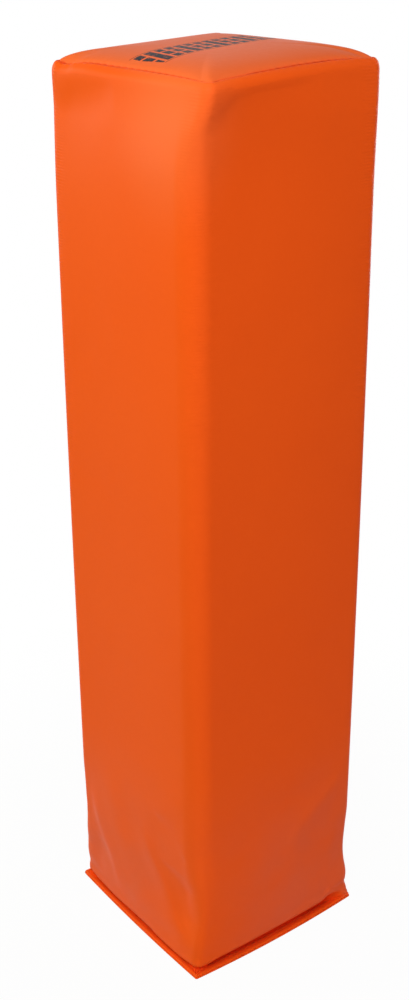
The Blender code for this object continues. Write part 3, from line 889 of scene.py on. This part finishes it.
def shoulder_rings(places):
    """The rounded shoulder, its roll into the top seam, and the cloth turned in behind it."""
    gap = seam_gap(places)
    even = 0 * gap  # spreads a level's value over its stations
    bend = np.linspace(0.0, SHOULDER_BEND, SHOULDER_ROWS)[:, None]
    seam_edge = SEAM_HALF + gap + ROLL * (1 + math.sin(SHOULDER_SLOPE))
    over = (1 - np.cos(bend)) / (1 - math.cos(SHOULDER_BEND))
    half = BODY_HALF + (seam_edge - gap - BODY_HALF) * over + gap * over ** GAPE_POWER
    drop = SHOULDER * (1 - np.sin(bend) / math.sin(SHOULDER_BEND)) + even
    corner = BODY_CORNER + (SEAM_CORNER + ROLL - BODY_CORNER) * over + even
    slope = np.linspace(SHOULDER_SLOPE, -math.pi / 2, ROLL_ROWS + 1)[1:, None]
    roll_half = seam_edge - ROLL * (math.sin(SHOULDER_SLOPE) - np.sin(slope))
    roll_drop = -ROLL * (np.cos(slope) - math.cos(SHOULDER_SLOPE)) + even
    roll_corner = SEAM_CORNER + ROLL * (1 + np.sin(slope)) / (1 + math.sin(SHOULDER_SLOPE)) + even
    hang_drop = np.linspace(HANG_START, ALLOWANCE, HANG_ROWS)[:, None] + even
    hang_even = 0 * hang_drop
    all_drop = np.concatenate([drop, roll_drop, hang_drop])
    all_half = np.concatenate([half, roll_half, roll_half[-1:] + hang_even])
    all_corner = np.concatenate([corner, roll_corner, roll_corner[-1:] + hang_even])
    sewn = np.concatenate([over, np.ones((ROLL_ROWS + HANG_ROWS, 1))])
    turn = turn_at(SEAM_Z - np.minimum(all_drop[:, :1], SHOULDER))
    return rings(places, SEAM_Z - all_drop, all_half, all_corner, -SEAM_DRAWN_IN * sewn, turn, 1.0)


sleeve_places = stations(SIDE_COLUMNS, {BACK_CORNER: BACK_ARC})
foot, walls, shoulder = (make(sleeve_places) for make in (foot_rings, wall_rings, shoulder_rings))
outside = np.concatenate([foot, walls, shoulder])
wrong_side = outside - PLY * facing(outside)
kept_rows = np.concatenate([
    np.arange(TURNED_ROWS, len(foot)),
    np.arange(len(foot), len(foot) + len(walls), WRONG_SIDE_STEP),
    np.arange(len(foot) + len(walls), len(outside)),
])
both_sides = np.concatenate([outside, wrong_side[kept_rows[::-1]]])


def between_stitches(places):
    """1 midway between two stitches of the top seam, and less at them and where the seam is shut."""
    open_here = SHUT_SHADE + (1 - SHUT_SHADE) * by_station(places, SEAM_OPEN)
    return (0.5 + 0.5 * off_stitch(places)) * open_here


def sleeve_groove():
    """How deep in a seam each row of the sleeve's two sides lies."""
    rows = np.zeros((len(outside), len(sleeve_places.angle)))
    open_groove = (1 - by_station(sleeve_places, EAR))[None, :]
    hem = np.linspace(HEM_SHADE, 1.0, len(HEM) - HEM_GROOVE_STARTS)
    rows[:HEM_GROOVE_STARTS] = HEM_SHADE
    rows[HEM_GROOVE_STARTS:len(HEM)] = hem[:, None] * open_groove
    rows[len(HEM):len(foot)] = np.array(FOOT_GROOVE)[:, None] * open_groove
    top = len(foot) + len(walls) + SHOULDER_ROWS
    rows[top:top + len(ROLL_GROOVE)] = np.array(ROLL_GROOVE)[:, None] * between_stitches(sleeve_places)
    rows[top + len(ROLL_GROOVE):] = 1.0
    return np.concatenate([rows, 0 * rows[kept_rows[::-1]]])


middle_ring = walls[len(walls) // 2]
sleeve = skin(
    "sleeve_cover", both_sides, sleeve_fabric,
    closed_loop=True, across=middle_ring, groove=sleeve_groove(),
)
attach(sleeve, "root")
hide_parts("sleeve")

# Top panel: a square of the same cloth, sewn to the sleeve all round with its edge turned down, and
# held up in a low crown by the foam. A band of plain bars is printed across it.
CROWN_HEIGHT = 0.0058
CROWN_POWER = 4.2
CROWN_EDGE = 0.57  # the higher, the softer the crown rises from its edge, and from its corners
CROWN_CORNER = 0.35
LEFT_CROWN_CORNER = 0.15
RIGHT_CROWN_CORNER = 0.60
OWN_DIP_POWER = 12
PINCH_POWER = 50
# How far out each ring of the crown lies: close together at its edge, wider apart towards its middle.
CROWN_SHARES = np.concatenate([
    1 - 0.03 * np.linspace(0.1, 1, 10) ** 1.8,
    np.linspace(0.962, 0.86, 12),
    np.linspace(0.83, 0.02, 22),
])
PANEL_DROPS = (ALLOWANCE, ALLOWANCE * 0.6, ALLOWANCE * 0.3, 0.0010, 0.0004, 0.0)


def crown(outline, shares, height, power, edge, corner):
    """Rings that shrink from an outline, and swell like a filled cushion's face towards its middle.

    The outline's tilt carries on over the face, and its own dips fade a little way in.
    """
    middle_z = outline[:, 2].mean()
    tilt = np.linalg.lstsq(outline[:, :2], outline[:, 2] - middle_z, rcond=None)[0]
    level = outline[:, :2] @ tilt
    own = outline[:, 2] - middle_z - level
    low = np.minimum(np.abs(outline[:, 0]), np.abs(outline[:, 1]))
    ratio = low / np.maximum(np.abs(outline[:, 0]), np.abs(outline[:, 1]))
    share = np.asarray(shares)[:, None]
    swell = (1 - share ** power) ** edge * (1 - (share * ratio) ** power) ** corner
    level_z = middle_z + level * share + own * share ** OWN_DIP_POWER + height * swell
    return np.stack([outline[:, 0] * share, outline[:, 1] * share, level_z], axis=-1)


def crown_corner(outline):
    """How softly the crown rises from the corner that each point of its outline is nearest."""
    at_right, at_back = outline[:, 0] > 0, outline[:, 1] > 0
    softness = np.where(at_right & at_back, RIGHT_CROWN_CORNER, CROWN_CORNER)
    return np.where(~at_right & ~at_back, LEFT_CROWN_CORNER, softness)


def seam_rings(places, z, half, turn_z=SEAM_Z):
    """Rings at the top seam, with its corners, its drawn-in sides and its turn."""
    return rings(places, z, half, SEAM_CORNER, -SEAM_DRAWN_IN, turn_at(turn_z), 1.0)


def panel_rings(places):
    """The top panel's right side: its turned-down edge, and its crown."""
    gap = seam_gap(places)
    drop = np.array(PANEL_DROPS)[:, None]
    edge = seam_rings(places, SEAM_Z - drop + 0 * gap, SEAM_HALF - gap + 0 * drop)
    even_edge = seam_rings(places, SEAM_Z, SEAM_HALF - gap.mean())[0]
    top = crown(even_edge, CROWN_SHARES, CROWN_HEIGHT, CROWN_POWER, CROWN_EDGE, crown_corner(even_edge))
    pinches = (edge[-1] - even_edge) * CROWN_SHARES[:, None, None] ** PINCH_POWER
    return np.concatenate([edge, top + pinches])


BAND_MIDDLE = (0.0008, -0.0045, 0.0)
BAND_TURN = math.radians(9.2)
BAND_LENGTH = 0.076
BAND_WIDTH = 0.0205
BAR_SLANT = 0.25
BAR_SHARE = 0.72  # of the bars' pitch
WHOLE_BAR_EVERY = 3.0
PAST_FIRST_BAR = 0.3  # the first bar of three counts as 0, and the second as a third
SPLIT_OFF_MIDDLE = 0.0036
SPLIT_HALF = 0.0007
BAR_TO_LINE = 0.0011
INK_RANGE = (0.32, 0.44)  # of the noise, from worn ink to full
WORN_INK = 0.45
# Painted sheen: the top panel's orange is paler and less saturated than the walls', standing in for the
# sheen the top catches.
TOP_SHEEN_ORANGE = (0.905, 0.147, 0.037, 1.0)
DEEP_TOP_SHEEN_ORANGE = (0.88, 0.137, 0.034, 1.0)
CHARCOAL = (0.022, 0.020, 0.028, 1.0)
LINE_RED = (0.30, 0.035, 0.012, 1.0)


def make_printed_band():
    """Masks of slanted bars between two thin lines. Every third bar is whole, the others are split."""
    group, given, result = new_group(
        "printed band",
        [
            ("Length", "Float", 0.08), ("Width", "Float", 0.02),
            ("Bar pitch", "Float", 0.0062), ("Line", "Float", 0.00045),
        ],
        [("Bars", "Float"), ("Lines", "Float")],
    )
    turned = {"Vector": own_place(group), "Location": BAND_MIDDLE, "Rotation": (0.0, 0.0, BAND_TURN)}
    local = node(group, "ShaderNodeMapping", turned, vector_type="TEXTURE").outputs[0]
    split = parts_of(group, local)
    from_middle = maths(group, "ABSOLUTE", split["X"])
    half_width = times(group, given["Width"], 0.5)
    half_length = times(group, given["Length"], 0.5)
    in_length = maths(group, "LESS_THAN", maths(group, "ABSOLUTE", split["Y"]), half_length)
    slanted = maths(group, "MULTIPLY_ADD", split["X"], BAR_SLANT, split["Y"])
    count = maths(group, "DIVIDE", maths(group, "ADD", slanted, 1.0), given["Bar pitch"])
    inked = maths(group, "LESS_THAN", maths(group, "FRACT", count), BAR_SHARE)
    which = maths(group, "FRACT", maths(group, "DIVIDE", maths(group, "FLOOR", count), WHOLE_BAR_EVERY))
    in_split = maths(group, "COMPARE", from_middle, SPLIT_OFF_MIDDLE, SPLIT_HALF)
    left_bare = times(group, in_split, maths(group, "GREATER_THAN", which, PAST_FIRST_BAR))
    inside = maths(group, "LESS_THAN", from_middle, maths(group, "SUBTRACT", half_width, BAR_TO_LINE))
    bars = times(group, times(group, inked, inside), maths(group, "SUBTRACT", 1.0, left_bare))
    lines = maths(group, "COMPARE", from_middle, half_width, times(group, given["Line"], 0.5))
    group.links.new(times(group, bars, in_length), result.inputs["Bars"])
    group.links.new(times(group, lines, in_length), result.inputs["Lines"])
    return group


def printed_fabric(name):
    """The cover's cloth, painted paler for the top's sheen, with the band printed on it, worn thin in
    places.
    """
    material, tree, shader, base = coated_fabric(
        name, TOP_SHEEN_ORANGE, DEEP_TOP_SHEEN_ORANGE, rib_depth=0.00001, roughness=0.36, shine=0.0145
    )
    band = use_group(tree, make_printed_band(), {"Length": BAND_LENGTH, "Width": BAND_WIDTH})
    ink = ramp(tree, noise(tree, own_place(tree), scale=700.0, detail=4.0), *INK_RANGE, low=WORN_INK)
    lined = mix(tree, times(tree, band["Lines"], ink), base, LINE_RED)
    barred = mix(tree, times(tree, band["Bars"], ink), lined, CHARCOAL)
    tree.links.new(barred, shader.inputs["Base Color"])
    return material


panel_fabric = printed_fabric("top panel coated fabric")
panel_places = stations(SIDE_COLUMNS, {})
panel_outside = panel_rings(panel_places)
panel_inside = panel_outside - PLY * facing(panel_outside)
PANEL_GROOVE = (1.0, 1.0, 1.0, 1.0, 1.0, 0.8, 0.45, 0.15)
panel_groove = np.zeros(panel_outside.shape[:2])
panel_groove[:len(PANEL_GROOVE)] = np.array(PANEL_GROOVE)[:, None] * between_stitches(panel_places)
top_panel = skin(
    "crowned_top_panel", np.concatenate([panel_inside[::-1], panel_outside]), panel_fabric,
    groove=np.concatenate([0 * panel_groove, panel_groove]),
)
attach(top_panel, "root")
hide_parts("top_panel")

# Bottom panel: the flat square that the pylon stands on. Its raw edge and the hem's lie on each
# other and stand out as the lip.
PANEL_MARGIN = 0.0002
base_fabric = coated_fabric(
    "base coated fabric", ORANGE, DEEP_ORANGE, rib_depth=0.00004, roughness=0.45, shine=0.03
)[0]
lip_places = stations(SIDE_COLUMNS, {})
base_share = np.array([0.02, 0.3, 0.6, 0.85, 0.95, 0.99, 1.0])
base_half = (LIP_HALF + PANEL_MARGIN) * base_share
base_bow = lip_bow(lip_places) * base_share[:, None]
base_corner = LIP_CORNER * base_share
under, over = (
    rings(lip_places, np.full(len(base_share), z), base_half, base_corner, base_bow, BASE_TURN)
    for z in (0.0, PLY)
)
bottom_panel = skin("flat_bottom_panel", np.concatenate([under, over[::-1]]), base_fabric)
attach(bottom_panel, "root")
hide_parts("bottom_panel")

# Threads: bonded orange sewing thread, one lockstitch at a time. In the top seam and the closing seam
# it crosses from cloth to cloth in the groove; round the base it runs along the groove behind the hem.
STITCH_PITCH = 0.0045
THREAD = 0.00034
TOP_SEAM_DEPTH = 0.0006
TOP_STITCH_TILT = 0.35
BACK_THREAD_OUT = 0.6  # of its thickness, out of the notch
BASE_SEAM_HALF = 0.0503
BASE_SEAM_Z = 0.0013
STITCH_STEPS = 5  # along a stitch
STITCH_SIDES = 6  # round it
STITCH_BEND = 0.75  # how far out its curve's handles stand, as a share of its half length
STITCH_CREST = 1.4  # how high they stand, as a share of its rise
UP = (0.0, 0.0, 1.0)


def make_stitch_row():
    """Geometry nodes that set one stitch on every point, along its way and facing its own direction."""
    group, given, result = new_group(
        "stitch row",
        [
            ("Geometry", "Geometry", None), ("Length", "Float", 0.003), ("Thickness", "Float", 0.0004),
            ("Rise", "Float", 0.0003), ("Slant", "Float", 0.0), ("Unevenness", "Float", 0.08),
            ("Seed", "Int", 3), ("Thread", "Material", None),
        ],
        [("Geometry", "Geometry")],
        "GeometryNodeTree",
    )
    half = times(group, given["Length"], 0.5)
    near = times(group, half, STITCH_BEND)
    dip = times(group, given["Rise"], -1.0)
    crest = times(group, given["Rise"], STITCH_CREST)

    def output_of(label, kind, inputs, **settings):
        """Adds a node, and gives one of its outputs."""
        return node(group, kind, inputs, **settings).outputs[label]

    def spot(x, z):
        """A point of the stitch's curve."""
        return output_of(0, "ShaderNodeCombineXYZ", {"X": x, "Z": z})

    line = output_of("Curve", "GeometryNodeCurvePrimitiveBezierSegment", {
        "Resolution": STITCH_STEPS,
        "Start": spot(times(group, half, -1.0), dip),
        "Start Handle": spot(times(group, near, -1.0), crest),
        "End Handle": spot(near, crest),
        "End": spot(half, dip),
    })
    profile = output_of("Curve", "GeometryNodeCurvePrimitiveCircle", {
        "Resolution": STITCH_SIDES,
        "Radius": times(group, given["Thickness"], 0.5),
    })
    tube = {"Curve": line, "Profile Curve": profile, "Fill Caps": True}
    stitch = output_of("Mesh", "GeometryNodeCurveToMesh", tube)
    kept = "GeometryNodeInputNamedAttribute"
    way = output_of("Attribute", kept, {"Name": "way"}, data_type="FLOAT_VECTOR")
    out = output_of("Attribute", kept, {"Name": "out"}, data_type="FLOAT_VECTOR")
    laid = output_of("Rotation", "FunctionNodeAlignRotationToVector", {"Vector": out}, axis="Z")
    aimed = output_of(
        "Rotation", "FunctionNodeAlignRotationToVector", {"Rotation": laid, "Vector": way},
        axis="X", pivot_axis="Z",
    )
    limits = {2: times(group, given["Unevenness"], -1.0), 3: given["Unevenness"], "Seed": given["Seed"]}
    chance = output_of(1, "FunctionNodeRandomValue", limits, data_type="FLOAT")
    slant = output_of(0, "ShaderNodeCombineXYZ", {"Z": maths(group, "ADD", given["Slant"], chance)})
    own_turn = output_of("Rotation", "FunctionNodeEulerToRotation", {"Euler": slant})
    turned = output_of(
        "Rotation", "FunctionNodeRotateRotation", {"Rotation": aimed, "Rotate By": own_turn},
        rotation_space="LOCAL",
    )
    longer = maths(group, "ADD", 1.0, chance)
    size = output_of(0, "ShaderNodeCombineXYZ", {"X": longer, "Y": 1.0, "Z": 1.0})
    row = {"Points": given["Geometry"], "Instance": stitch, "Rotation": turned, "Scale": size}
    placed = output_of("Instances", "GeometryNodeInstanceOnPoints", row)
    real = output_of("Geometry", "GeometryNodeRealizeInstances", {"Geometry": placed})
    smooth = output_of("Geometry", "GeometryNodeSetShadeSmooth", {"Geometry": real, "Shade Smooth": True})
    dye = {"Geometry": smooth, "Material": given["Thread"]}
    dyed = output_of("Geometry", "GeometryNodeSetMaterial", dye)
    group.links.new(dyed, result.inputs["Geometry"])
    return group


def bonded_thread(name, colour, deep):
    """Twisted bonded thread with a dull sheen and fine fibres."""
    material, tree, shader, _ = new_material(name, colour, deep, drift=0.8, roughness=0.6)
    raise_surface(tree, shader, noise(tree, own_place(tree), scale=5200.0, detail=3.0), 0.00005)
    shader.inputs["Specular IOR Level"].default_value = 0.2
    return material


stitch_row = make_stitch_row()
orange_thread = bonded_thread("orange thread", (0.70, 0.070, 0.008, 1.0), (0.55, 0.050, 0.007, 1.0))


def sew(name, points, ways, outs, material, **values):
    """Makes one row of stitches from its places and directions, and has it ride the pylon."""
    data = bpy.data.meshes.new(name)
    data.from_pydata([tuple(point) for point in points], [], [])
    for label, directions in (("way", ways), ("out", outs)):
        layer = data.attributes.new(label, "FLOAT_VECTOR", "POINT")
        layer.data.foreach_set("vector", np.asarray(directions, np.float32).ravel())
    row = add_object(name, data)
    modifier = row.modifiers.new("stitches", "NODES")
    modifier.node_group = stitch_row
    sockets = [item for item in stitch_row.interface.items_tree if item.in_out == "INPUT"]
    socket_of = {item.name: item.identifier for item in sockets}
    for label, value in {"Thread": material, "Thickness": THREAD, **values}.items():
        modifier[socket_of[label]] = value
    bpy.context.view_layer.update()
    made = bpy.data.meshes.new_from_object(row.evaluated_get(bpy.context.evaluated_depsgraph_get()))
    row.modifiers.remove(modifier)
    row.data = made
    bpy.data.meshes.remove(data)
    made.name = name
    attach(row, "root")


def along_the_line(points, closed):
    """The direction of the line at each of its points."""
    if closed:
        ways = np.roll(points, -1, axis=0) - np.roll(points, 1, axis=0)
    else:
        ways = np.gradient(points, axis=0)
    return ways / np.linalg.norm(ways, axis=1, keepdims=True)


at_pinch = panel_places.on_side & (panel_places.column % COLUMNS_TO_A_STITCH == 0)
seam_line = seam_rings(panel_places, SEAM_Z - TOP_SEAM_DEPTH, SEAM_HALF)[0]
seam_ways = along_the_line(seam_line, closed=True)
seam_outs = np.cross(seam_ways, UP) * TOP_STITCH_TILT + np.array(UP)
sew(
    "top_seam_thread", seam_line[at_pinch], seam_ways[at_pinch], seam_outs[at_pinch], orange_thread,
    Length=0.0013, Rise=0.00022, Slant=math.radians(82),
)

base_places = stations(int(2 * BASE_SEAM_HALF / STITCH_PITCH), {corner: (45,) for corner in range(4)})
base_bend = lip_bow(base_places)
base_line = rings(base_places, BASE_SEAM_Z, BASE_SEAM_HALF, BODY_CORNER, base_bend, BASE_TURN)[0]
base_ways = along_the_line(base_line, closed=True)
base_outs = np.tile(UP, (len(base_line), 1))
sew(
    "base_seam_thread", base_line, base_ways, base_outs, orange_thread,
    Length=0.0034, Rise=0.00028, Seed=11,
)

in_notch = ~sleeve_places.on_side & (sleeve_places.side == BACK_CORNER) & (sleeve_places.off_notch == 0)
notch_bottom = walls[:, np.flatnonzero(in_notch)[0]]
notch_steps = np.linalg.norm(np.diff(notch_bottom, axis=0), axis=1)
notch_length = np.concatenate([[0.0], np.cumsum(notch_steps)])
back_places = np.arange(STITCH_PITCH / 2, notch_length[-1], STITCH_PITCH)
back_line = np.stack([np.interp(back_places, notch_length, axis) for axis in notch_bottom.T], axis=1)
back_ways = along_the_line(back_line, closed=False)
back_out = np.array((-1.0, 1.0, 0.0)) / math.sqrt(2)
back_outs = np.tile(back_out, (len(back_line), 1))
back_thread = back_line + back_out * THREAD * BACK_THREAD_OUT
sew(
    "back_seam_thread", back_thread, back_ways, back_outs, orange_thread,
    Length=0.0016, Rise=0.00025, Slant=math.radians(78), Seed=23,
)

# Foam core: the four-inch block of soft open-cell foam, cut narrower at the top for the turned-in
# cloth and dressed to a low crown.
PLAIN_COLUMNS = 24  # on a side, for what the cover hides
FOAM_HALF = 0.0508
FOAM_BOTTOM = 0.060
FOAM_CORNER = 0.004
FOAM_TOP_HALF = 0.0478
FOAM_UNDER = (0.3, 0.7, 0.96)  # how far out each ring of its underside lies
FOAM_LEVELS = (FOAM_BOTTOM, 0.07, 0.08, 0.16, 0.23, 0.30, 0.37, 0.40, 0.412, 0.42, 0.428)
FOAM_NECK = SEAM_Z - 0.0112
FOAM_NECK_STEP = 0.0012
FOAM_NECK_TURN_Z = SEAM_Z - 0.01  # the height whose turn the neck takes
FOAM_TOP = SEAM_Z - 0.0018


def cellular_foam():
    """Pale open-cell foam: small round pores, and a soft dull surface."""
    material, tree, shader, _ = new_material(
        "open-cell foam", (0.62, 0.63, 0.64, 1), (0.5, 0.51, 0.52, 1), drift=0.8, roughness=0.95
    )
    cells = node(tree, "ShaderNodeTexVoronoi", {"Vector": own_place(tree), "Scale": 900.0})
    raise_surface(tree, shader, cells.outputs["Distance"], 0.0004)
    return material


foam_places = stations(PLAIN_COLUMNS, {})
foam_core = np.concatenate([
    rings(foam_places, FOAM_BOTTOM, np.array(FOAM_UNDER) * FOAM_HALF, FOAM_CORNER),
    bend_front(rings(foam_places, FOAM_LEVELS, FOAM_HALF, FOAM_CORNER)),
    bend_front(rings(foam_places, FOAM_NECK, FOAM_HALF, FOAM_CORNER, rise=1.0)),
    seam_rings(foam_places, FOAM_NECK + FOAM_NECK_STEP, FOAM_TOP_HALF, turn_z=FOAM_NECK_TURN_Z),
    seam_rings(foam_places, FOAM_TOP, FOAM_TOP_HALF),
])
foam_corner = crown_corner(foam_core[-1])
foam_top = crown(foam_core[-1], CROWN_SHARES[3::3], CROWN_HEIGHT, CROWN_POWER, CROWN_EDGE, foam_corner)
foam = skin("foam_block", np.concatenate([foam_core, foam_top]), cellular_foam(), sharp=40)
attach(foam, "root")
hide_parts("foam_core")

# Ballast bag and its sand: two plies of bag cloth sewn together round their rims, pillow-shaped
# over the sand between them.
BAG_MIDDLE = 0.029
BAG_HALF = 0.0462
BAG_RIM = 0.003
BAG_CORNER = 0.010
BAG_PLY = 0.0006
BAG_STITCH_PITCH = 0.0035
BAG_POWER = 5.0
BAG_EDGE = 0.42
BAG_SHARES = np.array([0.985, 0.96, 0.92, 0.86, 0.78, 0.66, 0.5, 0.3, 0.1])
BAG_TURN = BASE_TURN / 2


def bag_cloth():
    """Grey woven bag cloth with a plain weave."""
    material, tree, shader, _ = new_material(
        "grey bag cloth", (0.20, 0.21, 0.22, 1), (0.15, 0.16, 0.17, 1), drift=0.7, roughness=0.85
    )
    ribs = use_group(tree, cloth_ribs, {"Rib pitch": 0.001, "Thread pitch": 0.001, "Grain size": 0.0004})
    raise_surface(tree, shader, ribs["Height"], 0.00015)
    return material


def loose_sand():
    """Dry sand: pale grains of several colours."""
    material, tree, shader, tone = new_material(
        "dry sand", (0.52, 0.41, 0.27, 1), (0.33, 0.24, 0.15, 1), drift=0.9, roughness=0.95
    )
    grains = node(tree, "ShaderNodeTexVoronoi", {"Vector": own_place(tree), "Scale": 1400.0}).outputs
    speckle = node(tree, "ShaderNodeSeparateColor", {"Color": grains["Color"]}).outputs["Red"]
    colour = mix(tree, times(tree, speckle, 0.5), tone["Colour"], (0.7, 0.6, 0.46, 1))
    tree.links.new(colour, shader.inputs["Base Color"])
    raise_surface(tree, shader, grains["Distance"], 0.0003)
    return material


def pillow(outline, height):
    """One face of the filled bag, from its outline at the rim."""
    return crown(outline, BAG_SHARES, height, BAG_POWER, BAG_EDGE, BAG_EDGE)


bag_places = stations(PLAIN_COLUMNS, {})
bag_material = bag_cloth()
bag_limits = {"upper_bag_ply": FOAM_BOTTOM - GAP, "lower_bag_ply": PLY + GAP}
for name, limit in bag_limits.items():
    way = 1 if limit > BAG_MIDDLE else -1
    rim_inside = BAG_MIDDLE + way * GAP / 2
    rim_outside = rim_inside + way * BAG_PLY
    faces = []
    for half, rim, top in (
        (BAG_HALF - BAG_PLY, rim_inside, limit - way * BAG_PLY),
        (BAG_HALF, rim_outside, limit),
    ):
        edge_halves = [BAG_HALF + BAG_RIM, BAG_HALF + BAG_RIM / 2, half]
        edge = rings(bag_places, rim, edge_halves, BAG_CORNER, turn=BAG_TURN)
        faces.append(np.concatenate([edge, pillow(edge[-1], top - rim)]))
    ply = skin(name, np.concatenate([faces[0][::-1], faces[1]]), bag_material)
    if way < 0:
        ply.data.flip_normals()
    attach(ply, "root")
    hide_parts("ballast_bag_upper" if way > 0 else "ballast_bag_lower")

rim_places = stations(int(2 * BAG_HALF / BAG_STITCH_PITCH), {corner: (15, 45, 75) for corner in range(4)})
rim_z = BAG_MIDDLE + BAG_PLY + GAP / 2
rim_line = rings(rim_places, rim_z, BAG_HALF + BAG_RIM / 2, BAG_CORNER, turn=BAG_TURN)[0]
rim_ways = along_the_line(rim_line, closed=True)
rim_outs = np.tile(UP, (len(rim_line), 1))
grey_thread = bonded_thread("grey thread", (0.42, 0.42, 0.41, 1.0), (0.32, 0.32, 0.32, 1.0))
sew("bag_thread", rim_line, rim_ways, rim_outs, grey_thread, Length=0.0026, Rise=0.0002, Seed=31)

fill_half = BAG_HALF - BAG_PLY - 2 * GAP
fill_edge = rings(bag_places, BAG_MIDDLE, fill_half, BAG_CORNER, turn=BAG_TURN)
sand_top = pillow(fill_edge[0], FOAM_BOTTOM - BAG_PLY - 3 * GAP - BAG_MIDDLE)
sand_foot = pillow(fill_edge[0], PLY + BAG_PLY + 3 * GAP - BAG_MIDDLE)
sand = skin("sand", np.concatenate([sand_foot[::-1], fill_edge, sand_top]), loose_sand())
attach(sand, "root")
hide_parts("sand_fill")

# Studio: a small pale floor that fades to white away from the pylon, a white surround for the
# camera, and five soft lamps: the strongest low at the left, one behind, and three round the front.
FLOOR_HALF = 0.6
FLOOR_Z = -0.0002
FLOOR_GREY = (0.60, 0.60, 0.60, 1.0)
WHITE = (1, 1, 1, 1)
SHADOW_NEAR = 0.10  # metres from the middle, where the floor starts to fade to white
SHADOW_FAR = 0.34
SHADOW_WHITE = 0.97
SURROUND_LIGHT = 0.02  # of the white surround's strength, on the object
SMALL_LAMP = 0.4
SOFT_LAMP = 0.5
BROAD_LAMP = 0.8
LAMPS = (
    ("left lamp", (-0.30, -0.80, 0.75), SOFT_LAMP, 1.1, (0.82, 1.0, 0.82)),
    ("front lamp", (0.36, -0.54, 0.86), SMALL_LAMP, 5.5, (0.92, 1.0, 0.85)),
    ("low left lamp", (-1.3, -0.6, 0.6), BROAD_LAMP, 12.9, (0.94, 1.0, 0.82)),
    ("low right lamp", (1.2, -0.2, 0.66), BROAD_LAMP, 5.2, (1.0, 0.74, 0.80)),
    ("back lamp", (-0.25, 1.25, 0.42), BROAD_LAMP, 9.0, (1.0, 0.97, 0.94)),
)


def seen_directly(tree):
    """1 for what the camera sees itself or in a reflection, and 0 for what lights the object."""
    rays = node(tree, "ShaderNodeLightPath").outputs
    return maths(tree, "MAXIMUM", rays["Is Camera Ray"], rays["Is Glossy Ray"])


def make_floor():
    """The floor, which glows white away from the pylon for what sees it directly."""
    data = bpy.data.meshes.new("floor")
    low, high = -FLOOR_HALF, FLOOR_HALF
    corners = [(x, y, FLOOR_Z) for x, y in ((low, low), (high, low), (high, high), (low, high))]
    data.from_pydata(corners, [], [(0, 1, 2, 3)])
    floor = add_object("floor", data)
    material, tree, shader = blank_material("pale floor")
    shader.inputs["Base Color"].default_value = FLOOR_GREY
    shader.inputs["Roughness"].default_value = 0.7
    glow = node(tree, "ShaderNodeEmission", {"Color": WHITE, "Strength": 1.0}).outputs[0]
    far = vector_maths(tree, "LENGTH", own_place(tree))["Value"]
    fade = ramp(tree, far, SHADOW_NEAR, SHADOW_FAR, low=SHADOW_WHITE, way="SMOOTHSTEP")
    share = times(tree, seen_directly(tree), fade)
    mixed = node(tree, "ShaderNodeMixShader", {0: share, 1: shader.outputs[0], 2: glow})
    tree.links.new(mixed.outputs[0], tree.nodes["Material Output"].inputs["Surface"])
    data.materials.append(material)


def make_lamps():
    """The soft lamps, which all face the pylon's middle."""
    for name, place, size, power, colour in LAMPS:
        lamp = bpy.data.lights.new(name, "AREA")
        lamp.size = size
        lamp.energy = power
        lamp.color = colour
        holder = add_object(name, lamp)
        holder.location = place
        aim = Vector((0.0, 0.0, HEIGHT / 2)) - Vector(place)
        holder.rotation_euler = aim.to_track_quat("-Z", "Y").to_euler()


def make_surround():
    """The white surround, which hardly lights the object."""
    world = bpy.data.worlds.new("studio")
    bpy.context.scene.world = world
    world.use_nodes = True
    tree = world.node_tree
    background = tree.nodes["Background"]
    background.inputs["Color"].default_value = WHITE
    strength = ramp(tree, seen_directly(tree), 0.0, 1.0, low=SURROUND_LIGHT)
    tree.links.new(strength, background.inputs["Strength"])


make_floor()
make_lamps()
make_surround()
bpy.context.scene.view_settings.view_transform = "Standard"
